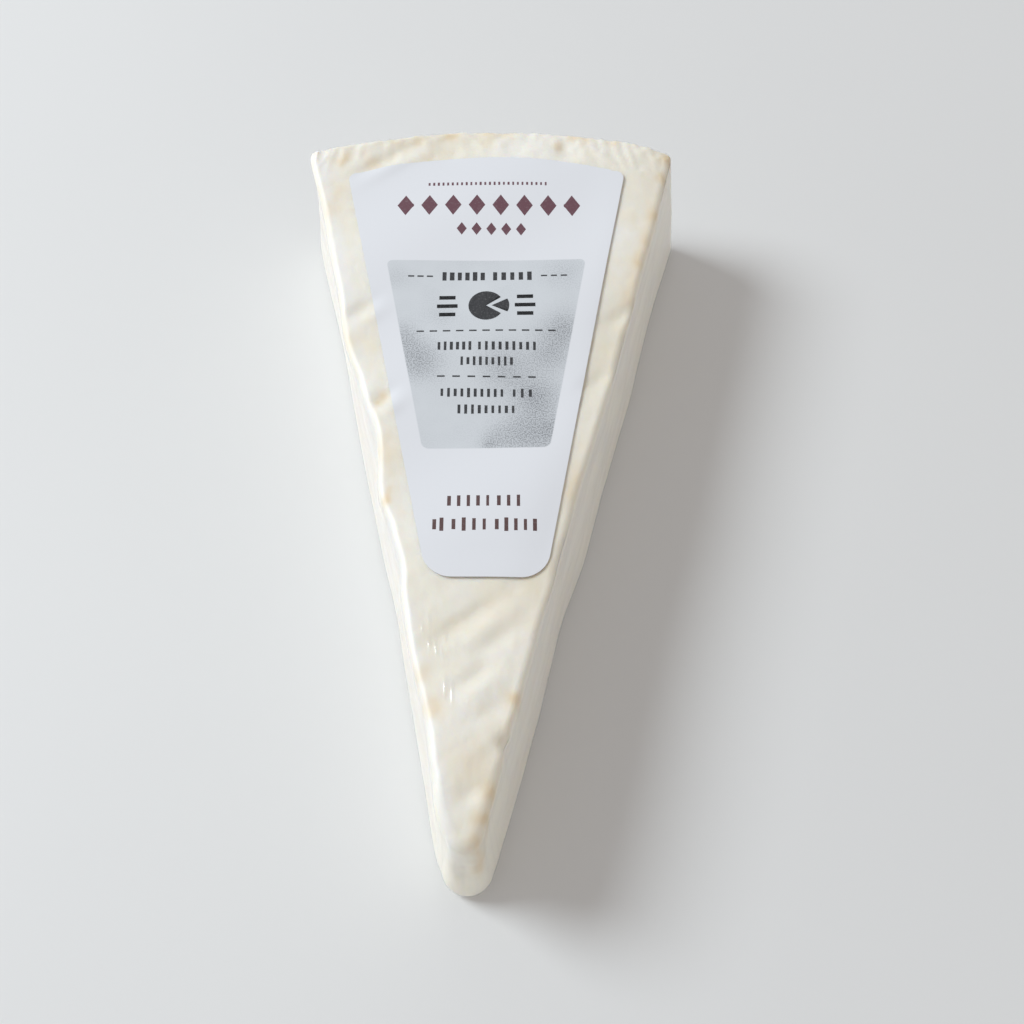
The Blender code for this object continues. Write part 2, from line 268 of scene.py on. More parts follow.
@dataclass(frozen=True)
class CheeseFinish:
    """Bloomy rind and ripe paste, seen through the film that presses on them."""

    rind: tuple = (0.885, 0.85, 0.755)
    # Darker rind, used for random mottling and for the painted shade in the top's hollows.
    rind_mottle_and_hollow_shade: tuple = (0.85, 0.80, 0.69)
    rind_warm: tuple = (0.88, 0.815, 0.66)
    bloom: tuple = (0.90, 0.875, 0.81)
    tan: tuple = (0.82, 0.68, 0.47)
    # Painted highlight colour: the film's white glare along the lit left rim.
    pale: tuple = (0.885, 0.88, 0.855)
    # Lighter creamy colour, partly the cheese's own tint and partly painted light on the shaded nose
    # front and right flank.
    cream: tuple = (0.975, 0.93, 0.805)
    paste: tuple = (0.955, 0.92, 0.855)
    paste_shade: tuple = (0.905, 0.85, 0.77)
    scatter_share: float = 0.35
    scatter_depth: float = 1.8 * MM
    scatter_reach: tuple = (1.0, 0.75, 0.45)
    broad_per_metre: float = 60
    streaks_per_metre: float = 90
    patches_per_metre: float = 170
    fine_per_metre: float = 420
    velvet_per_metre: float = 1500
    bump_depth: float = 0.2 * MM
    bump_strength: float = 0.5

    def material(self) -> bpy.types.Material:
        """Builds the material.

        Returns:
            The cheese's material, which reads the attributes tan and paste, pale for a painted highlight
            on the left rim, one for a creamy tint that is partly painted light, and one for painted shade
            in the top's hollows.
        """
        tree = ShaderTree("bloomy_rind_and_paste")
        place = tree.place()
        broad = tree.grain(place, self.broad_per_metre, 3)
        fine = tree.grain(place, self.fine_per_metre, 4)
        streaks = tree.grain(place, self.streaks_per_metre, 4, (1, 0.35, 3.5))
        patches = tree.grain(place, self.patches_per_metre, 4)
        rind = tree.blend(broad.step(0.35, 0.7), self.rind, self.bloom)
        rind = tree.blend(fine.step(0.45, 0.8) * 0.35, rind, self.rind_mottle_and_hollow_shade)
        rind = tree.blend(patches.step(0.5, 0.75) * 0.5, rind, self.rind_warm)
        paste = tree.blend(streaks.step(0.35, 0.7), self.paste_shade, self.paste)
        skin = tree.blend(tree.attribute("paste"), rind, paste)
        # Creamy tint, partly the cheese's own yellower colour and partly painted light lifting the shaded
        # nose front and right flank.
        skin = tree.blend(tree.attribute("cream"), skin, self.cream)
        # Painted highlight: the film's white glare along the upper left rim, on the side the light comes
        # from.
        skin = tree.blend(tree.attribute("pale"), skin, self.pale)
        tan = tree.attribute("tan") * (0.55 + 0.9 * fine)
        skin = tree.blend(tan, skin, self.tan)
        # Painted shade: darkens the rind where the top's relief dips, in its grooves, hollows and sunk
        # right shoulder.
        skin = tree.blend(tree.attribute("hollow"), skin, self.rind_mottle_and_hollow_shade, "MULTIPLY")
        velvet = tree.grain(place, self.velvet_per_metre, 3)
        height = fine * 0.7 + velvet * 0.3
        shader = tree.node(
            "ShaderNodeBsdfPrincipled",
            {},
            {
                "Base Color": skin,
                "Roughness": 0.5 + 0.25 * broad,
                "Subsurface Weight": self.scatter_share,
                "Subsurface Radius": self.scatter_reach,
                "Subsurface Scale": self.scatter_depth,
                "Normal": tree.bump_normal(height, self.bump_depth, self.bump_strength),
            },
        )
        return tree.finish(shader.outputs[0])


@dataclass(frozen=True)
class FilmFinish:
    """Clear film: see-through face on, and glossy along its creases and at a slant."""

    face_on_gloss: float = 0.03
    slant_gloss: float = 0.14
    slant_power: float = 3.0
    crease_gloss: float = 0.07
    glint_gloss: float = 0.07
    most_gloss: float = 0.9
    roughness: float = 0.4
    tint: tuple = (0.98, 0.98, 1.0, 1)
    creases_per_metre: float = 240
    fine_per_metre: float = 900
    bump_depth: float = 0.12 * MM
    bump_strength: float = 0.4

    def material(self) -> bpy.types.Material:
        """Builds the material.

        Returns:
            The film's material, which reads the attributes haze and glint.
        """
        tree = ShaderTree("clear_film")
        place = tree.place()
        creases = tree.grain(place, self.creases_per_metre, 3, (1, 0.25, 1))
        fine = tree.grain(place, self.fine_per_metre, 2, (1, 0.3, 1))
        height = creases * 0.85 + fine * 0.15
        normal = tree.bump_normal(height, self.bump_depth, self.bump_strength)
        slant = tree.wire("ShaderNodeLayerWeight", {}, {"Blend": 0.5, "Normal": normal}, "Facing")
        share = slant**self.slant_power * self.slant_gloss + self.face_on_gloss
        glint = tree.attribute("glint")
        share = share + tree.attribute("haze") * self.crease_gloss + glint * self.glint_gloss
        mirror = tree.node(
            "ShaderNodeBsdfPrincipled",
            {},
            {
                "Base Color": self.tint,
                "Metallic": 1.0,
                "Roughness": self.roughness + 0.1 * creases - 0.32 * glint,
                "Normal": normal,
            },
        )
        clear = tree.node("ShaderNodeBsdfTransparent")
        sockets = {0: share.least(self.most_gloss), 1: clear.outputs[0], 2: mirror.outputs[0]}
        mixed = tree.node("ShaderNodeMixShader", {}, sockets)
        return tree.finish(mixed.outputs[0])


@dataclass(frozen=True)
class PaperFinish:
    """Coated label paper, with a cloudy grey panel printed on it."""

    white: tuple = (0.785, 0.80, 0.84)
    panel_light: tuple = (0.66, 0.69, 0.725)
    panel_dark: tuple = (0.36, 0.38, 0.41)
    speck: tuple = (0.22, 0.23, 0.25)
    panel_foot: float = 27.25 * MM
    panel_top: float = 71.9 * MM
    panel_foot_half: float = 12.3 * MM
    panel_top_half: float = 20.6 * MM
    panel_corner: float = 1.3 * MM
    panel_edge: float = 0.12 * MM
    clouds_per_metre: float = 130
    stipple_per_metre: float = 3800
    fibres_per_metre: float = 900
    bump_depth: float = 0.03 * MM
    bump_strength: float = 0.4

    def _panel_mask(self, tree: ShaderTree, across: Wire, along: Wire) -> Wire:
        """1 inside the panel's rounded outline and 0 outside."""
        slope = (self.panel_top_half - self.panel_foot_half) / (self.panel_top - self.panel_foot)
        half = (along - self.panel_foot) * slope + self.panel_foot_half
        from_side = (half - abs(across)) * math.cos(math.atan(slope))
        middle = (self.panel_top + self.panel_foot) / 2
        from_end = (self.panel_top - self.panel_foot) / 2 - abs(along - middle)
        corner = self.panel_corner
        side_gap = (corner - from_side).most(0.0)
        end_gap = (corner - from_end).most(0.0)
        outside = (side_gap * side_gap + end_gap * end_gap) ** 0.5
        return 1 - outside.step(corner - self.panel_edge, corner + self.panel_edge)

    def material(self) -> bpy.types.Material:
        """Builds the material.

        Returns:
            The paper's material, which reads the UV map sheet, in label metres, and shade.
        """
        tree = ShaderTree("label_paper")
        sheet = tree.node("ShaderNodeUVMap", {"uv_map": "sheet"}).outputs[0]
        parts = tree.node("ShaderNodeSeparateXYZ", {}, {0: sheet})
        across, along = (Wire(tree, parts.outputs[k]) for k in (0, 1))
        panel = self._panel_mask(tree, across, along)
        clouds = tree.grain(sheet, self.clouds_per_metre, 3)
        stipple = tree.grain(sheet, self.stipple_per_metre, 1)
        shade = (tree.attribute("shade") + clouds * 0.3 - 0.1).most(0.0).least(1.0)
        tone = tree.blend(shade * 0.5, self.panel_light, self.panel_dark)
        tone = tree.blend(stipple.step(0.46, 0.6) * shade * 0.9, tone, self.speck)
        fibre = tree.grain(sheet, self.fibres_per_metre, 3)
        white = tree.blend(fibre * 0.3, self.white, tuple(0.97 * c for c in self.white))
        shader = tree.node(
            "ShaderNodeBsdfPrincipled",
            {},
            {
                "Base Color": tree.blend(panel, white, tone),
                "Roughness": 0.42 + 0.15 * fibre,
                "Normal": tree.bump_normal(fibre, self.bump_depth, self.bump_strength),
            },
        )
        return tree.finish(shader.outputs[0])


class Ink(Enum):
    """The label's inks and their colours."""

    CHARCOAL = (0.035, 0.037, 0.042)
    MAROON = (0.145, 0.062, 0.082)
    BROWN = (0.105, 0.055, 0.055)

    def material(self) -> bpy.types.Material:
        """Builds the ink's material, thinner where the paper's grain shows."""
        tree = ShaderTree(f"ink_{self.name.lower()}")
        wear = tree.grain(tree.place(), 2600, 2)
        worn = tuple(0.6 * c + 0.22 for c in self.value)
        shader = tree.node(
            "ShaderNodeBsdfPrincipled",
            {},
            {
                "Base Color": tree.blend(wear.step(0.5, 0.9) * 0.5, self.value, worn),
                "Roughness": 0.38 + 0.2 * wear,
            },
        )
        return tree.finish(shader.outputs[0])


@dataclass
class WedgeForm:
    """The wedge's outer form, which the film takes and the cheese fills."""

    wheel_radius: float = 164.5 * MM
    half_angle: float = math.radians(13.6)
    height: float = 33.1 * MM
    origin: tuple = (-0.4 * MM, 85.3 * MM)
    top_out_right: float = 0.8 * MM
    top_out_left: float = 0.9 * MM
    foot_lean_right: float = 1.4 * MM
    foot_lean_left: float = 1.6 * MM
    lean_power: float = 1.5
    rind_bulge: float = 0.8 * MM
    nose_radius_top: float = 3.3 * MM
    nose_radius_foot: float = 4.95 * MM
    nose_half_span: float = math.radians(45)
    nose_blend: float = 2.5 * MM
    top_rim: float = 1.6 * MM
    top_rim_at_nose: float = 2.3 * MM
    foot_rim: float = 1.8 * MM
    rear_corner_radius: float = 2.2 * MM
    crowding: float = 0.6
    groove_slant: float = math.radians(38)
    groove_width: float = 1.6 * MM
    nose_droop: float = 4.0 * MM
    nose_droop_length: float = 4.5 * MM
    shoulder_drop: float = 0.5 * MM
    shoulder_width: float = 5.0 * MM
    fold_height: float = 0.07 * MM
    crinkle_height: float = 0.42 * MM
    wave_height: float = 0.25 * MM
    wave_length: float = 31 * MM
    pinch_depth: float = 1.2 * MM
    pinch_x: float = -0.4 * MM
    pinch_width: float = 1.8 * MM
    swell_height: float = 1.0 * MM
    nose_middle: float = 7 * MM
    nose_reach: float = 6 * MM
    nose_rim_share: float = 0.08
    face_wave_length: float = 37 * MM
    face_dip: float = 0.25 * MM
    face_swell: float = 0.15 * MM
    face_band_width: float = 0.12
    crinkle_reach: float = 11 * MM

    def __post_init__(self) -> None:
        """Works out the half angle's sine and cosine."""
        self.sin = math.sin(self.half_angle)
        self.cos = math.cos(self.half_angle)

    @staticmethod
    def grooves() -> tuple:
        """The slanted grooves of the top, in millimetres: place, half length and depth."""
        return (
            ((-1.0, 49.0), 7.5, 0.55), ((4.0, 44.7), 5.0, 0.35), ((1.4, 38.5), 4.5, 0.40),
            ((3.7, 31.5), 4.5, 0.30), ((-26.2, 116.0), 4.0, 0.50), ((-20.5, 94.5), 3.5, 0.60),
            ((-23.5, 156.0), 8.0, 0.55), ((27.5, 117.0), 4.5, 0.45), ((22.5, 101.0), 4.0, 0.40),
        )

    @staticmethod
    def hollows() -> tuple:
        """Round hollows of the top, in millimetres: place, radius and depth."""
        return (
            ((0.2, 16.5), 1.8, 0.40), ((14.8, 159.0), 3.2, 0.55), ((-10.5, 160.0), 3.5, 0.50),
            ((6.3, 26.0), 1.3, 0.60),
        )

    @staticmethod
    def top_edge(side: int) -> tuple:
        """Where a cut face's top edge wanders, in millimetres: place along it and way out."""
        if side == RIGHT:
            return (
                (0, 0), (12, 0.3), (24, 0.2), (26.2, -0.4), (28.5, 0.1), (50, -0.1), (75, -0.3),
                (100, 0.2), (120, -0.1), (140, -0.3), (165, -1.1),
            )
        return (
            (0, 0), (8, 1.0), (14, 1.3), (22, 0.5), (30, -0.2), (45, 0.3), (55, 0), (63, -1.0),
            (70, -0.6), (78, 0.6), (92, -1.2), (104, 0.3), (115, 1.8), (128, 1.3), (140, 1.4),
            (152, 1.3), (165, 2.0),
        )

    @staticmethod
    def foot_edge(side: int) -> tuple:
        """Where a cut face's foot wanders, in millimetres: place along it and way out."""
        if side == RIGHT:
            return (
                (0, 0), (14, 0.6), (40, 0.7), (65, -0.1), (80, 1.0), (100, 0.8), (120, 1.0),
                (145, 0.3), (165, 0.8),
            )
        return (
            (0, 0), (12, 1.1), (30, 0.6), (48, 0.3), (65, -0.1), (85, 0.5), (105, 0.9), (130, 0.7),
            (165, 1.8),
        )

    @staticmethod
    def rear_edge() -> tuple:
        """Where the rind wanders: share of the way from left, -1, to right, 1, and way out."""
        return (
            (-1, -2.2), (-0.8, -1.9), (-0.6, -1.5), (-0.4, -0.7), (-0.2, -0.1), (0, -0.3), (0.3, 0),
            (0.6, 0), (0.85, 0.2), (1, -0.2),
        )

    def wander(self, side: int, share: Number, z: Number) -> Number:
        """How far a cut face wanders outwards at a share of its run and a height."""
        top, foot = self.top_edge(side), self.foot_edge(side)
        at_top = between(top, share * top[-1][0]) * (z / self.height) ** 2
        return (at_top + between(foot, share * foot[-1][0]) * self.lean(z)) * MM

    def lean(self, z: Number) -> Number:
        """Share of the foot's lean at a height."""
        return np.clip(1 - z / self.height, 0, 1) ** self.lean_power

    def wheel(self, z: Number) -> Number:
        """The wheel's radius at a height."""
        return self.wheel_radius + self.rind_bulge * np.sin(np.pi * np.clip(z / self.height, 0, 1))

    def face_out(self, side: int, z: Number) -> Number:
        """How far a cut face stands out from the line through the corner at a height."""
        if side == RIGHT:
            return self.top_out_right + self.foot_lean_right * self.lean(z)
        return self.top_out_left + self.foot_lean_left * self.lean(z)

    def nose_circle(self, z: Number) -> tuple:
        """Centre and radius of the nose's rounding at a height."""
        radius = self.nose_radius_top + (self.nose_radius_foot - self.nose_radius_top) * self.lean(z)
        right, left = self.face_out(RIGHT, z), self.face_out(LEFT, z)
        return (
            (right - left) / (2 * self.cos),
            radius / self.sin - (right + left) / (2 * self.sin),
            radius,
        )

    def rear_corner(self, side: int, z: Number) -> tuple:
        """A rear corner's run along the cut face, its offset and its bearing."""
        corner = self.rear_corner_radius
        offset = self.face_out(side, z) + self.wander(side, 1, z) - corner
        radius = self.wheel(z) + between(self.rear_edge(), side) * MM - corner
        run = np.sqrt(radius**2 - offset**2)
        return run, offset, self.half_angle + np.arctan2(offset, run)

    def cut_face(self, side: int, v: np.ndarray, z: np.ndarray) -> tuple:
        """Plan points of a cut face and their normals.

        Args:
            side: LEFT or RIGHT.
            v: shares of the way from the nose, 0, to the rind, 1.
            z: heights.

        Returns:
            The points' x and y, and the normals' x and y.
        """
        centre_x, centre_y, radius = self.nose_circle(z)
        run_end, offset, bearing = self.rear_corner(side, z)
        start = (centre_x * side + radius * self.cos) * self.sin
        start = start + (centre_y - radius * self.sin) * self.cos
        face_bearing = math.pi / 2 + self.half_angle
        nose_arc = radius * (math.pi - self.nose_half_span - face_bearing)
        rear_arc = self.rear_corner_radius * (face_bearing - bearing) / 2
        run = v * (nose_arc + run_end - start + rear_arc)
        on_nose = np.minimum(run, nose_arc)
        straight = np.clip(run - nose_arc, 0, run_end - start)
        on_corner = np.maximum(run - nose_arc - (run_end - start), 0)

        turn = math.pi - self.nose_half_span - on_nose / radius
        turn = turn - on_corner / self.rear_corner_radius
        normal_x, normal_y = side * np.sin(turn), np.cos(turn)
        at_corner = on_corner > 0
        corner_x = side * (run_end * self.sin + offset * self.cos)
        corner_y = run_end * self.cos - offset * self.sin
        x = np.where(at_corner, corner_x, centre_x + straight * side * self.sin)
        y = np.where(at_corner, corner_y, centre_y + straight * self.cos)
        fade = 1 - np.exp(-straight / self.nose_blend)
        bent = radius + self.wander(side, (start + straight) / run_end, z) * fade
        reach = np.where(at_corner, self.rear_corner_radius, bent)
        return x + reach * normal_x, y + reach * normal_y, normal_x, normal_y

    def nose(self, u: np.ndarray, z: np.ndarray) -> tuple:
        """Plan points round the front of the nose and their normals."""
        centre_x, centre_y, radius = self.nose_circle(z)
        turn = u * self.nose_half_span
        normal_x, normal_y = np.sin(turn), -np.cos(turn)
        return centre_x + radius * normal_x, centre_y + radius * normal_y, normal_x, normal_y

    def rear(self, u: np.ndarray, z: np.ndarray) -> tuple:
        """Plan points of the rind at the rear and their normals."""
        wheel = self.wheel(z)
        side = np.where(u < 0, LEFT, RIGHT)
        bearings = [self.rear_corner(each, z)[2] for each in (LEFT, RIGHT)]
        bearing = np.where(u < 0, bearings[0], bearings[1])
        half_arc = wheel * (bearings[0] + bearings[1]) / 2
        corner = self.rear_corner_radius
        corner_arc = corner * (math.pi / 2 + self.half_angle - bearing) / 2
        run = np.abs(u) * (half_arc + corner_arc)
        on_arc = np.minimum(run, half_arc)
        on_corner = np.maximum(run - half_arc, 0)
        turn = side * (on_arc / wheel + on_corner / corner) + (bearings[1] - bearings[0]) / 2
        radius = wheel + between(self.rear_edge(), side * on_arc / half_arc) * MM
        normal_x, normal_y = np.sin(turn), np.cos(turn)
        at_corner = on_corner > 0
        corner_x = (radius - corner) * side * np.sin(bearing)
        corner_y = (radius - corner) * np.cos(bearing)
        x = np.where(at_corner, corner_x + corner * normal_x, radius * normal_x)
        y = np.where(at_corner, corner_y + corner * normal_y, radius * normal_y)
        return x, y, normal_x, normal_y

    def plan(self, u: np.ndarray, v: np.ndarray, z: np.ndarray, rim: np.ndarray) -> tuple:
        """Plan points inside the four sides at a height, blended from the sides.

        Args:
            u: shares across, -1 to 1.
            v: shares along, 0 to 1.
            z: heights.
            rim: how far the sides are set in.

        Returns:
            The points' x and y.
        """

        def inset(side_points: tuple) -> tuple:
            """Side points moved in along their normals."""
            return tuple(side_points[k] - rim * side_points[k + 2] for k in (0, 1))

        across = (u + 1) / 2
        one = np.ones_like(u)
        left, right = (inset(self.cut_face(side, v, z)) for side in (LEFT, RIGHT))
        front, back = inset(self.nose(u, z)), inset(self.rear(u, z))
        front_ends = [inset(self.nose(end * one, z)) for end in (-1, 1)]
        back_ends = [inset(self.rear(end * one, z)) for end in (-1, 1)]
        result = []
        for k in (0, 1):
            sides = (1 - v) * front[k] + v * back[k]
            sides = sides + (1 - across) * left[k] + across * right[k]
            nose_ends = (1 - across) * front_ends[0][k] + across * front_ends[1][k]
            rear_ends = (1 - across) * back_ends[0][k] + across * back_ends[1][k]
            result.append(sides - (1 - v) * nose_ends - v * rear_ends)
        return tuple(result)

    def top_relief(self, x: Number, y: Number) -> Number:
        """Height of the top's relief over its flat."""
        cos, sin = math.cos(self.groove_slant), math.sin(self.groove_slant)
        width = self.groove_width
        height = self.wave_height * np.sin((x * sin - y * cos) / self.wave_length * 2 * np.pi)
        for (centre_x, centre_y), half_length, depth in self.grooves():
            run = (x - centre_x * MM) * cos + (y - centre_y * MM) * sin
            aside = (y - centre_y * MM) * cos - (x - centre_x * MM) * sin
            profile = bump(aside, width) - 0.5 * bump(aside + 2 * width, width)
            height = height - depth * MM * profile * bump(run, half_length * MM)
        for (centre_x, centre_y), radius, depth in self.hollows():
            away = np.hypot(x - centre_x * MM, y - centre_y * MM)
            height = height - depth * MM * bump(away, radius * MM)
        from_right = np.maximum(y * self.sin - x * self.cos, 0)
        return height - self.shoulder_drop * bump(from_right, self.shoulder_width)

    def sunk(self, y: Number, z: Number) -> Number:
        """Height of a point after the nose has sunk."""
        nose_y, nose_radius = self.nose_circle(self.height)[1:]
        from_nose = np.maximum(y - nose_y + nose_radius, 0)
        share = self.nose_droop / self.height
        return z * (1 - share * np.exp(-from_nose / self.nose_droop_length))

    def top_height(self, x: Number, y: Number) -> Number:
        """Height of the top at a plan point, away from its rims."""
        return self.height + self.top_relief(x, y)

    def nose_relief(self, x: Number, y: Number, z: Number) -> Number:
        """How far the front of the nose swells at a height."""
        near = bump(np.hypot(x, y - self.nose_middle), self.nose_reach)
        level = z / self.height
        pinch = self.pinch_depth * bump(x - self.pinch_x, self.pinch_width) * bump(level - 0.4, 0.15)
        return near * (self.swell_height * bump(level - 0.14, 0.16) - pinch)

    def face_relief(self, along: Number, z: Number) -> Number:
        """Long shallow waves of a cut face, which run level along it."""
        level = z / self.height
        width = self.face_band_width
        band = self.face_swell * bump(level - 0.45, width) - self.face_dip * bump(level - 0.72, width)
        return band * (1 + 0.5 * np.sin(along / self.face_wave_length * 2 * np.pi))

    def fine_folds(self, points: np.ndarray) -> np.ndarray:
        """Small folds of the top, slanted like its grooves, and crinkles along the rear rim."""
        x, y = points[:, 0], points[:, 1]
        cos, sin = math.cos(self.groove_slant), math.sin(self.groove_slant)
        slanted = np.stack([x * cos + y * sin, y * cos - x * sin, 0 * x], axis=1)
        folds = self.fold_height * cloud(slanted, (11 * MM, 2.8 * MM, 1.0), 7.0)
        from_corner = np.hypot(x, y)
        radial = np.stack([np.arctan2(x, y) * from_corner, from_corner, 0 * x], axis=1)
        at_rear = smooth_step(from_corner - self.wheel_radius, -self.crinkle_reach, -3 * MM)
        crinkles = (1 - np.abs(cloud(radial, (2.6 * MM, 6 * MM, 1.0), 31.0))) ** 2
        return folds + self.crinkle_height * at_rear * (crinkles - 0.5)

    def crowded(self, share: np.ndarray) -> np.ndarray:
        """Moves shares of 0 to 1 closer together at both ends."""
        return share + self.crowding * (share**2 * (3 - 2 * share) - share)

    def shaped(self, box: np.ndarray, cells: Sequence[int], rim_rows: int) -> "Skin":
        """Maps points on a box of half side 1 to the wedge.

        Args:
            box: the points, with X across, Y from nose to rind and Z up.
            cells: how many cells the box has each way.
            rim_rows: how many rows of cells bend round each rim.

        Returns:
            The wedge's skin.
        """
        inner = np.array([1 - 2 * rim_rows / n for n in cells])
        depth = np.clip((np.abs(box) - inner) / (1 - inner), 0, 1)
        outward = np.maximum(depth[:, 0], depth[:, 1])
        ring = inner[:2] + outward[:, None] * (1 - inner[:2])
        across, forward = (np.clip(box[:, :2] / ring, -1, 1)).T
        u = 2 * self.crowded((across + 1) / 2) - 1
        v = self.crowded((forward + 1) / 2)
        up = (np.clip(box[:, 2] / inner[2], -1, 1) + 1) / 2

        top_rim = self.top_rim + (self.top_rim_at_nose - self.top_rim) * bump(v, self.nose_rim_share)
        rim = self.foot_rim + (top_rim - self.foot_rim) * up
        z = self.foot_rim + (self.height - top_rim - self.foot_rim) * up
        x, y = self.plan(u, v, z, rim)

        on_face = np.abs(across) >= np.abs(forward)
        left, right = (self.cut_face(side, v, z) for side in (LEFT, RIGHT))
        front, back = self.nose(u, z), self.rear(u, z)
        level = np.tan(math.pi / 4 * outward)
        normal = np.zeros_like(box)
        for k in (0, 1):
            face = np.where(across < 0, left[k + 2], right[k + 2])
            end = np.where(forward < 0, front[k + 2], back[k + 2])
            normal[:, k] = level * np.where(on_face, face, end)
        normal[:, 2] = np.tan(math.pi / 4 * depth[:, 2]) * np.sign(box[:, 2])
        normal /= np.linalg.norm(normal, axis=1, keepdims=True)
        points = np.stack([x, y, z], axis=1) + rim[:, None] * normal

        relief = self.top_relief(points[:, 0], points[:, 1]) + self.fine_folds(points)
        points[:, 2] += np.clip(normal[:, 2], 0, 1) ** 0.5 * relief
        points[:, 2] = self.sunk(points[:, 1], points[:, 2])
        along = np.hypot(points[:, 0], points[:, 1])
        fade = np.sin(np.pi * np.clip(v, 0, 1)) ** 0.5
        push = self.nose_relief(points[:, 0], points[:, 1], points[:, 2])
        push = push + np.where(on_face, self.face_relief(along, points[:, 2]) * fade, 0)
        push = push * np.where(normal[:, 2] < 0, 0, 1)
        points[:, :2] += normal[:, :2] * push[:, None]
        return Skin(points, normal, on_face, across, forward, fade)


@dataclass
class Skin:
    """Points of the wedge's outer form, with what is known of each."""

    points: np.ndarray
    normal: np.ndarray
    on_face: np.ndarray
    across: np.ndarray
    forward: np.ndarray
    fade: np.ndarray

    def level(self) -> np.ndarray:
        """How level each point's normal lies: 1 on the walls and 0 on the top."""
        return np.hypot(self.normal[:, 0], self.normal[:, 1])

    def up(self) -> np.ndarray:
        """How far each point's normal faces up."""
        return np.clip(self.normal[:, 2], 0, 1)

    def rim_gap(self, form: WedgeForm) -> np.ndarray:
        """How far each point lies inside the top's outline, in plan."""
        x, y = self.points[:, 0], self.points[:, 1]
        to_face = y * form.sin - np.abs(x) * form.cos
        to_rind = form.wheel_radius - np.hypot(x, y)
        return np.minimum(to_face, to_rind)


class GeometryTree:
    """A Geometry Nodes tree whose nodes and named inputs are added one at a time."""

    def __init__(self, name: str) -> None:
        """Starts a tree that takes and gives geometry.

        Args:
            name: the tree's name.
        """
        self.tree = bpy.data.node_groups.new(name, "GeometryNodeTree")
        interface = self.tree.interface
        interface.new_socket("Geometry", in_out="INPUT", socket_type="NodeSocketGeometry")
        interface.new_socket("Geometry", in_out="OUTPUT", socket_type="NodeSocketGeometry")
        self.inlet = self.tree.nodes.new("NodeGroupInput")
        self.outlet = self.tree.nodes.new("NodeGroupOutput")
        self.identifiers: dict = {}

    def number(self, name: str, kind: str = "NodeSocketFloat") -> Any:
        """Adds a named input and returns its socket in the tree."""
        made = self.tree.interface.new_socket(name, in_out="INPUT", socket_type=kind)
        self.identifiers[name] = made.identifier
        return self.inlet.outputs[name]

    def node(self, kind: str, settings: Optional[dict] = None, sockets: Optional[dict] = None) -> Any:
        """Adds a node.

        Args:
            kind: the node's type.
            settings: its properties.
            sockets: a value or an output for each input, by name or number.

        Returns:
            The node.
        """
        made = self.tree.nodes.new(kind)
        for key, value in (settings or {}).items():
            setattr(made, key, value)
        for key, value in (sockets or {}).items():
            if isinstance(value, bpy.types.NodeSocket):
                self.tree.links.new(value, made.inputs[key])
            else:
                made.inputs[key].default_value = value
        return made

    def finish(self, geometry: Any, material: bpy.types.Material) -> None:
        """Ends the tree in realized instances of one material."""
        real = self.node("GeometryNodeRealizeInstances", {}, {0: geometry})
        dressed = self.node("GeometryNodeSetMaterial", {}, {0: real.outputs[0]})
        dressed.inputs["Material"].default_value = material
        self.tree.links.new(dressed.outputs[0], self.outlet.inputs[0])

    def mesh(self, name: str, base: Optional[bpy.types.Mesh], values: dict) -> bpy.types.Mesh:
        """Runs the tree once and returns its result as a plain mesh.

        Args:
            name: the mesh's name.
            base: the mesh that the tree takes, or None.
            values: a number for each named input.

        Returns:
            The mesh.
        """
        holder = bpy.data.objects.new(name, base or bpy.data.meshes.new(name))
        bpy.context.scene.collection.objects.link(holder)
        modifier = holder.modifiers.new("build", "NODES")
        modifier.node_group = self.tree
        for key, value in values.items():
            modifier[self.identifiers[key]] = value
        evaluated = holder.evaluated_get(bpy.context.evaluated_depsgraph_get())
        result = bpy.data.meshes.new_from_object(evaluated)
        holder.modifiers.remove(modifier)
        bpy.data.objects.remove(holder)
        result.name = name
        return result


def add_object(name: str, mesh: bpy.types.Mesh) -> bpy.types.Object:
    """Puts a mesh in the scene as an object at the origin."""
    obj = bpy.data.objects.new(name, mesh)
    bpy.context.scene.collection.objects.link(obj)
    return obj


def set_attribute(mesh: bpy.types.Mesh, name: str, values: np.ndarray) -> None:
    """Stores one value for each point of a mesh."""
    layer = mesh.attributes.new(name, "FLOAT", "POINT")
    layer.data.foreach_set("value", np.asarray(values, np.float32))


@dataclass
class BoxMesh:
    """A box divided into cells, to be shaped into the wedge."""

    cells: tuple = (120, 280, 30)
    rim_rows: int = 5

    def mesh(self, name: str, material: bpy.types.Material) -> bpy.types.Mesh:
        """Builds the box, of half side 1."""
        tree = GeometryTree("cell_box")
        counts = {}
        for axis, cells in zip("XYZ", self.cells):
            counts[axis] = tree.number(f"Vertices {axis}", "NodeSocketInt")
        sockets = {f"Vertices {axis}": socket for axis, socket in counts.items()}
        sockets["Size"] = (2, 2, 2)
        box = tree.node("GeometryNodeMeshCube", {}, sockets)
        tree.finish(box.outputs[0], material)
        values = {f"Vertices {axis}": cells + 1 for axis, cells in zip("XYZ", self.cells)}
        return tree.mesh(name, None, values)

    def skin(self, mesh: bpy.types.Mesh, form: WedgeForm) -> Skin:
        """Reads the box's points and shapes them."""
        flat = np.empty(len(mesh.vertices) * 3)
        mesh.vertices.foreach_get("co", flat)
        return form.shaped(flat.reshape(-1, 3), self.cells, self.rim_rows)

    @staticmethod
    def place(mesh: bpy.types.Mesh, points: np.ndarray, form: WedgeForm) -> None:
        """Gives the mesh its shaped points, at the part's origin."""
        moved = points - np.array([*form.origin, 0])
        mesh.vertices.foreach_set("co", moved.ravel())
        mesh.update()
        mesh.shade_smooth()


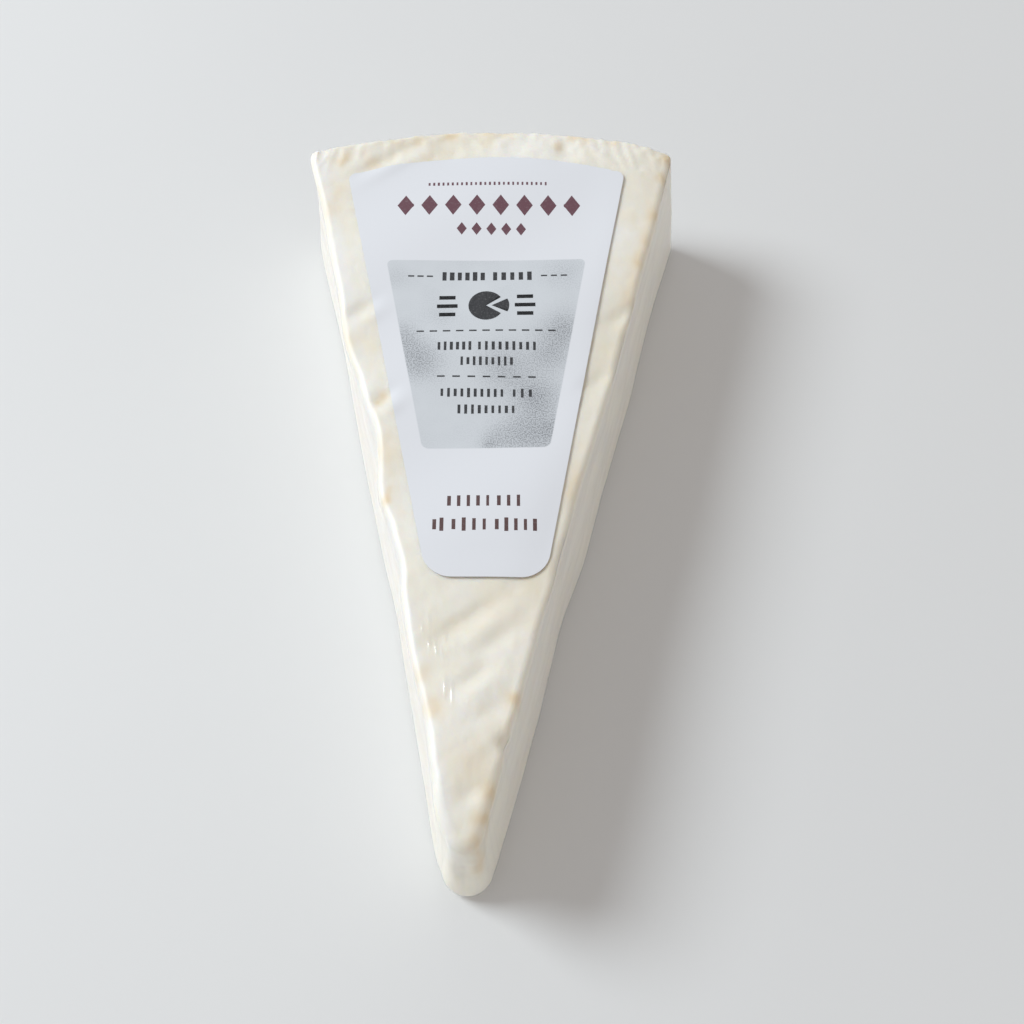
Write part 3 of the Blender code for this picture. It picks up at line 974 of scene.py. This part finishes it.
@dataclass
class Cheese:
    """The cheese itself: rind on the top, underside and rear, and paste on the cut faces."""

    form: WedgeForm
    box: BoxMesh
    film_gap: float = 0.08 * MM
    pile_height: float = 0.05 * MM
    smear_height: float = 0.09 * MM
    smear_tilt: float = 0.14
    middle_width: float = 3 * MM
    tan_rim_width: float = 1.6 * MM
    tan_share_left: float = 0.1
    tan_share_right: float = 0.55
    # Width and strength of the painted highlight, the film's glare along the lit left rim.
    glare_rim_width: float = 1.3 * MM
    glare_share: float = 0.8
    # Reach and strength of the creamy tint at the nose, which is partly painted light on its shaded
    # front.
    cream_reach: float = 12 * MM
    cream_share: float = 0.85
    ragged_edge: float = 0.4 * MM
    # Relief depth at which the painted shade in the top's hollows is full, and its strength.
    deep: float = 0.6 * MM
    hollow_shade_share: float = 0.35

    @staticmethod
    def tan_spots() -> tuple:
        """Browned patches of the top, in millimetres: place, radius and strength."""
        return (
            ((-32.6, 155.9), 1.6, 0.7), ((-33.3, 153.6), 1.4, 0.6), ((-32.9, 146.4), 2.2, 0.35),
            ((-28.5, 156.9), 1.2, 0.45), ((-26.7, 154.4), 1.8, 0.5), ((-22.1, 160.2), 1.4, 0.5),
            ((-17.1, 160.9), 1.3, 0.5), ((-15.3, 156.0), 1.6, 0.35), ((-10.9, 162.6), 1.5, 0.9),
            ((-9.0, 163.0), 1.3, 0.9), ((-2.0, 163.4), 2.0, 0.6), ((2.4, 163.4), 1.5, 0.5),
            ((13.6, 159.7), 1.1, 0.6), ((16.7, 162.6), 1.5, 0.5), ((19.4, 162.2), 1.5, 0.6),
            ((19.8, 157.9), 1.6, 0.3), ((25.0, 161.4), 1.2, 0.6), ((37.3, 158.0), 1.5, 0.8),
            ((35.9, 152.4), 1.4, 0.6), ((34.1, 142.4), 1.6, 0.55), ((31.9, 135.2), 1.4, 0.5),
            ((30.3, 129.5), 1.3, 0.5), ((28.9, 119.9), 1.5, 0.4), ((-34.2, 141.8), 2.4, 0.3),
            ((-27.1, 108.8), 2.4, 0.25), ((-19.0, 83.2), 4.0, 0.45), ((-19.8, 95.2), 1.0, 0.8),
            ((-20.8, 93.9), 0.9, 0.7), ((-17.5, 72.6), 1.1, 0.85), ((-17.2, 75.0), 0.8, 0.5),
            ((-8.8, 37.5), 2.0, 0.5), ((-6.5, 31.6), 2.4, 0.6), ((8.0, 33.4), 1.6, 0.8),
            ((4.4, 17.0), 1.6, 0.9), ((3.6, 12.7), 1.6, 0.9), ((2.6, 8.4), 1.8, 0.7),
            ((2.9, 5.6), 1.8, 0.55), ((1.2, 3.6), 1.4, 0.35), ((-1.6, 4.2), 1.2, 0.35),
            ((4.7, 50.5), 4.0, 0.25), ((0.6, 22.2), 4.0, 0.3),
        )

    def relief(self, skin: Skin) -> np.ndarray:
        """How far the surface stands out from the film's inside, never past it."""
        level = skin.level()
        pile = cloud(skin.points, (3 * MM, 3 * MM, 3 * MM), 11.0)
        pile = pile + 0.5 * cloud(skin.points, (1.3 * MM, 1.3 * MM, 1.3 * MM), 5.0)
        tilted = skin.points + np.outer(skin.points[:, 1], (0, 0, self.smear_tilt))
        smear = cloud(tilted, (8 * MM, 8 * MM, 3.2 * MM), 23.0)
        rough = self.pile_height * (pile - 1) * (1 - level) + self.smear_height * (smear - 1) * level
        return -self.film_gap + np.minimum(rough, 0)

    def build(self) -> bpy.types.Object:
        """Builds the cheese.

        Returns:
            The object, which rides on the root and stands for the wrapped wedge.
        """
        mesh = self.box.mesh("cheese", CheeseFinish().material())
        skin = self.box.skin(mesh, self.form)
        points = skin.points + skin.normal * self.relief(skin)[:, None]
        self.box.place(mesh, points, self.form)
        self._mark(mesh, skin)
        piece = add_object("cheese", mesh)
        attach(piece, "root")
        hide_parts("wrapped_wedge")
        return piece

    def _mark(self, mesh: bpy.types.Mesh, skin: Skin) -> None:
        """Stores where the cheese is paste or browned, where a painted highlight lies on the left rim,
        where a creamy tint that is partly painted light lies, and where painted shade lies in the top's
        hollows.
        """
        x, y, z = skin.points.T
        level = skin.level()
        cut = np.where(skin.on_face | (skin.forward < 0), 1.0, 0.0)
        inside = smooth_step(z, 1.0 * MM, 2.5 * MM)
        inside = inside * (1 - smooth_step(z, self.form.height - 3.2 * MM, self.form.height - 2 * MM))
        set_attribute(mesh, "paste", cut * inside)
        drift = cloud(skin.points, (9 * MM, 9 * MM, 9 * MM), 41.0)
        gap = skin.rim_gap(self.form)
        height_share = z / self.form.height
        on_rim = bump(gap - 0.6 * MM, self.tan_rim_width) * smooth_step(height_share, 0.6, 1.0)
        # Painted highlight: white film glare along the upper left rim, the side the light comes from.
        lit_left_side = smooth_step(-x, 0.0, self.middle_width) * smooth_step(height_share, 0.5, 0.9)
        set_attribute(mesh, "pale", self.glare_share * lit_left_side * bump(gap, self.glare_rim_width))
        # Creamy tint at the nose and on the right flank: partly real, partly painted light lifting the
        # shaded nose front and right flank.
        at_nose = bump(np.hypot(x, y - 6 * MM), self.cream_reach)
        right_flank_fill = smooth_step(x, 0.0, self.middle_width) * cut * level * (0.45 + 0.25 * drift)
        set_attribute(mesh, "cream", np.clip(self.cream_share * at_nose + right_flank_fill, 0, 1))
        rim_share = np.where(x < 0, self.tan_share_left, self.tan_share_right)
        tan = rim_share * on_rim * smooth_step(drift, 0.0, 0.9)
        tan = tan * (0.3 + 0.7 * (1 - level))
        top = smooth_step(height_share + 0.5 * bump(y - 7 * MM, 4.5 * MM), 0.75, 0.93)
        ragged = drift + cloud(skin.points, (2 * MM, 2 * MM, 2 * MM), 13.0)
        for (spot_x, spot_y), radius, strength in self.tan_spots():
            away = np.hypot(x - spot_x * MM, y - spot_y * MM) + self.ragged_edge * ragged
            tan = tan + strength * bump(away, radius * MM) * top
        set_attribute(mesh, "tan", np.clip(tan, 0, 0.9))
        # Painted shade: darker where the top's relief dips, in its grooves, hollows and sunk right
        # shoulder.
        dip = np.clip(-self.form.top_relief(x, y) / self.deep, 0, 1) * smooth_step(y, 14 * MM, 20 * MM)
        set_attribute(mesh, "hollow", self.hollow_shade_share * dip * skin.up())


@dataclass
class Film:
    """The clear film, drawn tight round the cheese, with its creases and its gathered nose."""

    form: WedgeForm
    box: BoxMesh
    streak_height: float = 0.10 * MM
    pleat_height: float = 0.07 * MM
    top_crease_height: float = 0.02 * MM
    streak_tilt: float = -0.10
    pleats_per_radian: float = 34
    glint_tilt: float = 0.04
    glint_width: float = 0.3 * MM
    glint_full: float = 0.1 * MM
    haze_full: float = 0.12 * MM

    @staticmethod
    def glints() -> tuple:
        """Short ridges that catch the light, in millimetres: place, half length and height."""
        return (
            ((-8.0, 48.1), 0.9, 0.16), ((-9.1, 46.5), 0.9, 0.16), ((-7.7, 43.6), 1.0, 0.18),
            ((-6.6, 43.6), 1.1, 0.18), ((-6.2, 42.1), 0.8, 0.15), ((-4.9, 45.1), 0.9, 0.18),
            ((-5.3, 42.1), 0.7, 0.15), ((-4.4, 35.3), 1.7, 0.18), ((-3.1, 34.3), 2.0, 0.18),
            ((10.9, 45.8), 0.8, 0.14),
        )

    def creases(self, skin: Skin) -> np.ndarray:
        """How far the film stands out from the wedge's form at each point."""
        x, y = skin.points[:, 0], skin.points[:, 1]
        level, up = skin.level(), skin.up()
        tilted = skin.points + np.outer(y, (0, 0, self.streak_tilt))
        along_face = cloud(tilted, (12 * MM, 12 * MM, 5 * MM), 3.0)
        ridge = (1 - np.abs(along_face)) ** 2
        push = self.streak_height * ridge * level * np.where(skin.on_face, skin.fade, 0.3)
        turn = np.arctan2(x, y - 20 * MM)
        pleats = (0.5 + 0.5 * np.sin(turn * self.pleats_per_radian)) ** 3
        near_nose = bump(np.hypot(x, y - 8 * MM), 9 * MM) * level
        push = push + self.pleat_height * pleats * near_nose
        veins = cloud(skin.points, (1.1 * MM, 7 * MM, 7 * MM), 17.0)
        push = push + self.top_crease_height * (1 - np.abs(veins)) ** 4 * up
        return push + self.glint_ridges(x, y) * up

    def glint_ridges(self, x: np.ndarray, y: np.ndarray) -> np.ndarray:
        """Height of the short ridges at plan points."""
        total = np.zeros_like(x)
        for (glint_x, glint_y), half_length, height in self.glints():
            run = y - glint_y * MM
            aside = x - glint_x * MM + self.glint_tilt * run
            ridge = bump(aside, self.glint_width) * bump(run, half_length * MM)
            total = total + height * MM * ridge
        return total

    def build(self) -> bpy.types.Object:
        """Builds the film.

        Returns:
            The object, which rides on the root and stands for the wrapped wedge.
        """
        mesh = self.box.mesh("film", FilmFinish().material())
        skin = self.box.skin(mesh, self.form)
        push = self.creases(skin) * np.where(skin.normal[:, 2] < -0.3, 0, 1)
        points = skin.points + skin.normal * push[:, None]
        self.box.place(mesh, points, self.form)
        set_attribute(mesh, "haze", skin.level() * np.clip(push / self.haze_full, 0, 1))
        ridges = self.glint_ridges(skin.points[:, 0], skin.points[:, 1])
        set_attribute(mesh, "glint", np.clip(ridges / self.glint_full, 0, 1) * skin.up())
        piece = add_object("film", mesh)
        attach(piece, "root")
        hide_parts("wrapped_wedge")
        return piece


class Mark(Enum):
    """Shapes of printed marks, by the number of corners of their prism."""

    BAR = 0
    LOZENGE = 4
    DOT = 24


@dataclass(frozen=True)
class PrintedRow:
    """One row of like marks on the label, in millimetres from its middle and foot."""

    along: float
    height: float
    spans: tuple
    pitch: float
    width: float
    mark: Mark = Mark.BAR
    ink: Ink = Ink.CHARCOAL
    unevenness: float = 0.0


@dataclass
class Label:
    """The tapered paper label, which lies on the film with its edges a little lifted."""

    form: WedgeForm
    length: float = 95.4 * MM
    foot_half_width: float = 11.0 * MM
    half_angle: float = math.radians(11.1)
    top_arc: float = 100 * MM
    turn: float = math.radians(2.3)
    foot_x: float = 1.9 * MM
    foot_y: float = 56.9 * MM
    foot_corner: float = 4.5 * MM
    top_corner: float = 2.2 * MM
    thickness: float = 0.12 * MM
    clearance: float = 0.14 * MM
    right_lift: float = 0.12 * MM
    foot_lift: float = 0.22 * MM
    foot_lift_length: float = 6 * MM
    sharp_edge: float = math.radians(40)
    columns: int = 72
    corner_rows: int = 10
    rows: int = 190

    @staticmethod
    def clouds() -> tuple:
        """Dark clouds of the printed panel, in millimetres: place on it, radius and strength."""
        return (
            ((-13.5, 47.3), 4.5, 0.85), ((-17.0, 53.0), 3.5, 0.6), ((-18.7, 67.5), 2.8, 0.15),
            ((15.4, 54.5), 4.0, 0.75), ((12.5, 48.5), 4.0, 0.6), ((3.0, 45.5), 5.0, 0.4),
            ((10.0, 38.4), 4.2, 0.9), ((8.0, 30.0), 5.0, 0.8), ((13.0, 31.0), 3.0, 0.6),
            ((2.5, 29.5), 3.0, 0.4), ((5.0, 45.0), 6.0, 0.2), ((-9.0, 58.0), 3.0, 0.25),
            ((0.5, 27.9), 1.4, 0.5), ((16.0, 69.0), 4.0, 0.25),
        )

    def row_places(self) -> np.ndarray:
        """Distances of the rows from the foot, closest together at the round corners."""
        quarter = np.linspace(0, math.pi / 2, self.corner_rows, endpoint=False)
        foot = self.foot_corner * (1 - np.cos(quarter))
        top = self.length - self.top_corner * (1 - np.cos(quarter[::-1]))
        middle = np.linspace(self.foot_corner, self.length - self.top_corner, self.rows + 1)
        return np.concatenate([foot, middle, top])

    def half_width(self, run: np.ndarray) -> np.ndarray:
        """Half the width at distances from the foot, less the round of the corners."""
        width = self.foot_half_width + run * math.tan(self.half_angle)
        for corner, depth in ((self.foot_corner, run), (self.top_corner, self.length - run)):
            into = np.maximum(corner - depth, 0)
            width = width - (corner - np.sqrt(corner**2 - into**2))
        return width

    def to_plan(self, across: Number, along: Number) -> tuple:
        """Turns places on the label to plan points."""
        cos, sin = math.cos(self.turn), math.sin(self.turn)
        return self.foot_x + across * cos - along * sin, self.foot_y + across * sin + along * cos

    def surface(self, across: np.ndarray, along: np.ndarray) -> np.ndarray:
        """World points of the paper's underside at places on the label."""
        x, y = self.to_plan(across, along)
        side = self.foot_half_width + along * math.tan(self.half_angle)
        right = smooth_step(across / side, 0.72, 1.0) * smooth_step(along, 12 * MM, 40 * MM)
        foot = 1 - smooth_step(along, 0.0, self.foot_lift_length)
        foot = foot * (0.5 + 0.5 * np.cos(across / self.foot_lift_length))
        lift = self.right_lift * right + self.foot_lift * foot
        z = self.form.top_height(x, y) + self.clearance + lift
        return np.stack([x - self.form.origin[0], y - self.form.origin[1], z], axis=-1)

    def grid(self) -> tuple:
        """Places on the label of every point of its grid, row by row."""
        runs = self.row_places()
        shares = np.linspace(-1, 1, self.columns + 1)
        across = self.half_width(runs)[:, None] * shares[None, :]
        half_top = float(self.half_width(runs[-1:])[0])
        crown = np.sqrt(self.top_arc**2 - across**2) - math.sqrt(self.top_arc**2 - half_top**2)
        rise = np.maximum(crown, 0) * (runs[:, None] / self.length) ** 3
        return across.ravel(), (runs[:, None] + rise).ravel(), len(runs)

    def build(self) -> bpy.types.Object:
        """Builds the paper.

        Returns:
            The object, which rides on the root and stands for the label.
        """
        across, along, rows = self.grid()
        bm = bmesh.new()
        bmesh.ops.create_grid(bm, x_segments=self.columns, y_segments=rows - 1, size=1)
        mesh = bpy.data.meshes.new("paper_label")
        bm.to_mesh(mesh)
        bm.free()
        mesh.vertices.foreach_set("co", self.surface(across, along).ravel())
        mesh.update()
        mesh.shade_smooth()
        sheet = mesh.uv_layers.new(name="sheet")
        corners = np.empty(len(mesh.loops), int)
        mesh.loops.foreach_get("vertex_index", corners)
        sheet.data.foreach_set("uv", np.stack([across[corners], along[corners]], axis=1).ravel())
        mesh.materials.append(PaperFinish().material())
        shade = np.zeros_like(across)
        for (cloud_x, cloud_y), radius, strength in self.clouds():
            away = np.hypot(across - cloud_x * MM, along - cloud_y * MM)
            shade = shade + strength * bump(away, radius * MM)
        set_attribute(mesh, "shade", shade)
        piece = add_object("paper_label", mesh)
        solid = piece.modifiers.new("thickness", "SOLIDIFY")
        solid.thickness = self.thickness
        solid.offset = 1
        evaluated = piece.evaluated_get(bpy.context.evaluated_depsgraph_get())
        piece.data = bpy.data.meshes.new_from_object(evaluated)
        piece.modifiers.clear()
        piece.data.set_sharp_from_angle(angle=self.sharp_edge)
        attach(piece, "root")
        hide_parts("label")
        return piece


@dataclass
class LabelPrint:
    """The label's generic print: rows of bars, dashes and lozenges, and a cut cheese wheel."""

    label: Label
    turn: float = math.radians(2.0)
    ink_thickness: float = 0.03 * MM
    wheel_along: float = 60.5 * MM
    wheel_radius: float = 3.6 * MM
    wheel_gap: float = math.radians(34)
    wedge_half_angle: float = math.radians(27.2)
    wedge_pull: float = 1.1 * MM
    bar_across: float = 7.9 * MM
    bar_pitch: float = 2.1 * MM
    bar_length: float = 4.2 * MM
    bar_taper: float = 0.9 * MM
    bar_width: float = 0.9 * MM

    @staticmethod
    def rows() -> tuple:
        """The rows of marks, from the label's head to its foot."""
        return (
            PrintedRow(91.9, 0.9, ((-12.8, 12.4),), 1.0, 0.45, ink=Ink.MAROON, unevenness=0.2),
            PrintedRow(86.2, 5.4, ((-19.2, 19.4),), 4.75, 3.5, Mark.LOZENGE, Ink.MAROON),
            PrintedRow(86.2, 1.1, ((-16.8, 17.0),), 4.75, 1.1, Mark.DOT, Ink.MAROON),
            PrintedRow(80.0, 3.2, ((-6.6, 7.9),), 3.3, 2.1, Mark.LOZENGE, Ink.MAROON),
            PrintedRow(67.9, 0.35, ((-16.4, -11.3), (10.9, 16.2)), 2.0, 1.25),
            PrintedRow(67.9, 2.2, ((-9.4, -0.6), (1.0, 9.0)), 1.6, 0.95, unevenness=0.15),
            PrintedRow(54.3, 0.35, ((-14.3, 13.7),), 2.55, 1.5),
            PrintedRow(50.6, 2.1, ((-10.0, -3.2), (-1.9, 9.7)), 1.3, 0.62, unevenness=0.25),
            PrintedRow(47.0, 2.1, ((-5.4, 5.1),), 1.3, 0.62, unevenness=0.25),
            PrintedRow(43.4, 0.35, ((-9.9, 9.6),), 2.9, 1.5),
            PrintedRow(39.7, 2.1, ((-9.2, 3.2), (5.0, 8.8)), 1.3, 0.62, unevenness=0.25),
            PrintedRow(36.0, 2.1, ((-5.8, 5.4),), 1.3, 0.62, unevenness=0.25),
            PrintedRow(15.7, 2.5, ((-7.4, 0.6), (2.0, 6.4)), 1.65, 0.7, ink=Ink.BROWN, unevenness=0.25),
            PrintedRow(
                10.7,
                2.8,
                ((-10.1, -8.0), (-6.5, 0.0), (1.6, 9.5)),
                1.7,
                0.75,
                ink=Ink.BROWN,
                unevenness=0.25,
            ),
        )

    def _tree(self, mark: Mark, material: bpy.types.Material) -> GeometryTree:
        """Builds the tree that prints one span of a row on the paper it is given.

        Args:
            mark: the marks' shape.
            material: their ink.

        Returns:
            The tree, with the named inputs that _values fills.
        """
        tree = GeometryTree(f"printed_{mark.name.lower()}")
        count = tree.number("Count", "NodeSocketInt")
        start = tree.number("Start", "NodeSocketVector")
        pitch = tree.number("Pitch", "NodeSocketVector")
        size = tree.number("Mark Size", "NodeSocketVector")
        least = tree.number("Least Size", "NodeSocketVector")
        seed = tree.number("Seed", "NodeSocketInt")
        foot = tree.number("Label Foot", "NodeSocketVector")
        turn = tree.number("Label Turn", "NodeSocketVector")
        line = tree.node(
            "GeometryNodeMeshLine",
            {"mode": "OFFSET"},
            {"Count": count, "Start Location": start, "Offset": pitch},
        )
        if mark is Mark.BAR:
            shape = tree.node("GeometryNodeMeshCube", {}, {"Size": (1, 1, 1)})
        else:
            shape = tree.node(
                "GeometryNodeMeshCylinder",
                {},
                {"Vertices": mark.value, "Radius": 0.5, "Depth": 1.0},
            )
        uneven = tree.node(
            "FunctionNodeRandomValue", {"data_type": "FLOAT_VECTOR"}, {0: least, 1: size, "Seed": seed}
        )
        marks = tree.node(
            "GeometryNodeInstanceOnPoints",
            {},
            {"Points": line.outputs[0], "Instance": shape.outputs[0], "Scale": uneven.outputs[0]},
        )
        real = tree.node("GeometryNodeRealizeInstances", {}, {0: marks.outputs[0]})
        turned = tree.node(
            "GeometryNodeTransform",
            {},
            {"Geometry": real.outputs[0], "Translation": foot, "Rotation": turn},
        )
        place = tree.node("GeometryNodeInputPosition")
        above = tree.node(
            "ShaderNodeVectorMath", {"operation": "ADD"}, {0: place.outputs[0], 1: (0, 0, 0.1)}
        )
        ray = tree.node(
            "GeometryNodeRaycast",
            {},
            {
                "Target Geometry": tree.inlet.outputs["Geometry"],
                "Source Position": above.outputs[0],
                "Ray Direction": (0, 0, -1),
                "Ray Length": 1.0,
            },
        )
        drop = tree.node(
            "ShaderNodeVectorMath",
            {"operation": "MULTIPLY"},
            {0: ray.outputs["Hit Position"], 1: (0, 0, 1)},
        )
        laid = tree.node(
            "GeometryNodeSetPosition",
            {},
            {"Geometry": turned.outputs[0], "Offset": drop.outputs[0]},
        )
        tree.finish(laid.outputs[0], material)
        return tree

    def _values(self, row: PrintedRow, first: float, last: float, seed: int) -> dict:
        """The tree's inputs for one span of a row."""
        inner = (last - first) - row.width
        count = max(1, round(inner / row.pitch) + 1)
        pitch = inner / (count - 1) if count > 1 else 0.0
        size = Vector((row.width, row.height, self.ink_thickness / MM)) * MM
        least = Vector((size.x * (1 - row.unevenness), size.y * (1 - row.unevenness), size.z))
        origin = self.label.form.origin
        foot = (self.label.foot_x - origin[0], self.label.foot_y - origin[1], 0)
        return {
            "Count": count,
            "Start": ((first + row.width / 2) * MM, row.along * MM, 0),
            "Pitch": (pitch * MM, 0, 0),
            "Mark Size": tuple(size),
            "Least Size": tuple(least),
            "Seed": seed,
            "Label Foot": foot,
            "Label Turn": (0, 0, self.turn),
        }

    def _wheel(self) -> bpy.types.Mesh:
        """A cheese wheel seen from above, with a wedge drawn out of it, as thin printed shapes."""
        gap, wedge, pull = self.wheel_gap, self.wedge_half_angle, self.wedge_pull
        shapes = []
        for start, stop, shift, points in ((gap, 2 * math.pi - gap, 0.0, 40), (-wedge, wedge, pull, 8)):
            turns = np.linspace(start, stop, points)
            across = self.wheel_radius * np.cos(turns) + shift
            shapes.append([*zip(across, self.wheel_radius * np.sin(turns)), (shift, 0.0)])
        for side in (LEFT, RIGHT):
            for row in (-1, 0, 1):
                middle, half = side * self.bar_across, (self.bar_length - self.bar_taper * abs(row)) / 2
                low, high = (row * self.bar_pitch + edge * self.bar_width / 2 for edge in (-1, 1))
                left, right = middle - half, middle + half
                shapes.append([(left, low), (right, low), (right, high), (left, high)])
        bm = bmesh.new()
        for shape in shapes:
            bm.faces.new([bm.verts.new((x, y, 0)) for x, y in shape])
        bmesh.ops.solidify(bm, geom=bm.faces[:], thickness=self.ink_thickness)
        bmesh.ops.recalc_face_normals(bm, faces=bm.faces[:])
        for vert in bm.verts:
            across, along = vert.co.x, vert.co.y + self.wheel_along
            base = self.label.surface(np.array(across), np.array(along))
            lift = self.label.thickness + self.ink_thickness / 2
            vert.co = (base[0], base[1], base[2] + lift + vert.co.z)
        mesh = bpy.data.meshes.new("printed_wheel")
        bm.to_mesh(mesh)
        bm.free()
        return mesh

    def build(self, paper: bpy.types.Object) -> list:
        """Prints every row on the paper.

        Args:
            paper: the finished label.

        Returns:
            One object for each ink.
        """
        evaluated = paper.evaluated_get(bpy.context.evaluated_depsgraph_get())
        base = bpy.data.meshes.new_from_object(evaluated)
        pieces = []
        for ink in Ink:
            material = ink.material()
            meshes = []
            for seed, row in enumerate(self.rows()):
                if row.ink is not ink:
                    continue
                tree = self._tree(row.mark, material)
                for first, last in row.spans:
                    values = self._values(row, first, last, seed)
                    meshes.append(tree.mesh("span", base.copy(), values))
            if ink is Ink.CHARCOAL:
                meshes.append(self._wheel())
            pieces.append(self._joined(f"print_{ink.name.lower()}", meshes, material))
        return pieces

    @staticmethod
    def _joined(name: str, meshes: list, material: bpy.types.Material) -> bpy.types.Object:
        """Joins meshes into one object of one material, riding on the root."""
        bm = bmesh.new()
        for mesh in meshes:
            bm.from_mesh(mesh)
        joined = bpy.data.meshes.new(name)
        bm.to_mesh(joined)
        bm.free()
        joined.materials.clear()
        joined.materials.append(material)
        piece = add_object(name, joined)
        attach(piece, "root")
        return piece


@dataclass
class Studio:
    """The camera at the photograph's angle, a soft key light and a plain pale floor."""

    form: WedgeForm
    camera_turn: float = math.radians(1.88)
    camera_rise: float = math.radians(62.84)
    camera_distance: float = 304.8 * MM
    target_x: float = 5.7 * MM
    target_y: float = 87.5 * MM
    lens: float = 50.0
    sensor: float = 36.0
    key_direction: tuple = (-0.68, 0.214, 0.702)
    key_distance: float = 1.6
    key_size: float = 0.74
    key_power: float = 18.2
    key_colour: tuple = (0.885, 0.955, 1.0)
    sky_low: tuple = (0.61, 0.585, 0.565)
    sky_high: tuple = (0.43, 0.415, 0.41)
    floor_colour: tuple = (0.76, 0.763, 0.763)
    floor_half: float = 2.0
    clip_start: float = 0.01

    def build(self) -> None:
        """Builds the camera, lights, sky and floor."""
        self._camera()
        self._key()
        self._sky()
        self._floor()
        bpy.context.scene.view_settings.view_transform = "Standard"

    def _camera(self) -> None:
        """Looks at the wedge from over its nose."""
        turn, rise = self.camera_turn, self.camera_rise
        back = Vector((math.sin(turn) * math.cos(rise), -math.cos(turn) * math.cos(rise), math.sin(rise)))
        right = Vector((math.cos(turn), math.sin(turn), 0))
        up = back.cross(right)
        target = Vector((self.target_x - self.form.origin[0], self.target_y - self.form.origin[1], 0))
        data = bpy.data.cameras.new("photo_view")
        data.lens = self.lens
        data.sensor_width = self.sensor
        data.clip_start = self.clip_start
        camera = bpy.data.objects.new("photo_view", data)
        axes = Matrix((right, up, back)).transposed().to_4x4()
        camera.matrix_world = Matrix.Translation(target + back * self.camera_distance) @ axes
        bpy.context.scene.collection.objects.link(camera)
        bpy.context.scene.camera = camera

    def _key(self) -> None:
        """A large soft light from the left and a little behind."""
        data = bpy.data.lights.new("key", "AREA")
        data.shape = "DISK"
        data.size = self.key_size
        data.energy = self.key_power
        data.color = self.key_colour
        light = bpy.data.objects.new("key", data)
        direction = Vector(self.key_direction).normalized()
        light.matrix_world = Matrix.Translation(direction * self.key_distance) @ (
            direction.to_track_quat("Z", "Y").to_matrix().to_4x4()
        )
        bpy.context.scene.collection.objects.link(light)

    def _sky(self) -> None:
        """Pale light from all round, a little stronger from low down."""
        world = bpy.data.worlds.new("studio")
        world.use_nodes = True
        nodes, links = world.node_tree.nodes, world.node_tree.links
        direction = nodes.new("ShaderNodeTexCoord")
        parts = nodes.new("ShaderNodeSeparateXYZ")
        links.new(direction.outputs["Generated"], parts.inputs[0])
        colour = nodes.new("ShaderNodeMix")
        colour.data_type = "RGBA"
        colour.inputs[6].default_value = (*self.sky_low, 1)
        colour.inputs[7].default_value = (*self.sky_high, 1)
        links.new(parts.outputs["Z"], colour.inputs[0])
        links.new(colour.outputs[2], nodes["Background"].inputs["Color"])
        bpy.context.scene.world = world

    def _floor(self) -> None:
        """A plain pale floor under the wedge."""
        tree = ShaderTree("pale_floor")
        wash = tree.grain(tree.place(), 9, 2)
        colour = tree.blend(wash, self.floor_colour, tuple(0.97 * c for c in self.floor_colour))
        shader = tree.node(
            "ShaderNodeBsdfPrincipled", {}, {"Base Color": colour, "Roughness": 0.55 + 0.1 * wash}
        )
        bm = bmesh.new()
        bmesh.ops.create_grid(bm, x_segments=1, y_segments=1, size=self.floor_half)
        mesh = bpy.data.meshes.new("floor")
        bm.to_mesh(mesh)
        bm.free()
        mesh.materials.append(tree.finish(shader.outputs[0]))
        add_object("floor", mesh)


def main() -> None:
    """Builds the studio and each piece in turn."""
    logging.basicConfig(level=logging.INFO, format="%(name)s: %(message)s")
    form = WedgeForm()
    Studio(form).build()
    box = BoxMesh()
    pieces = [Cheese(form, box).build(), Film(form, box).build()]
    label = Label(form)
    paper = label.build()
    pieces.append(paper)
    pieces += LabelPrint(label).build(paper)
    for piece in pieces:
        log.info("%s has %d faces", piece.name, len(piece.data.polygons))


if __name__ == "__main__":
    main()
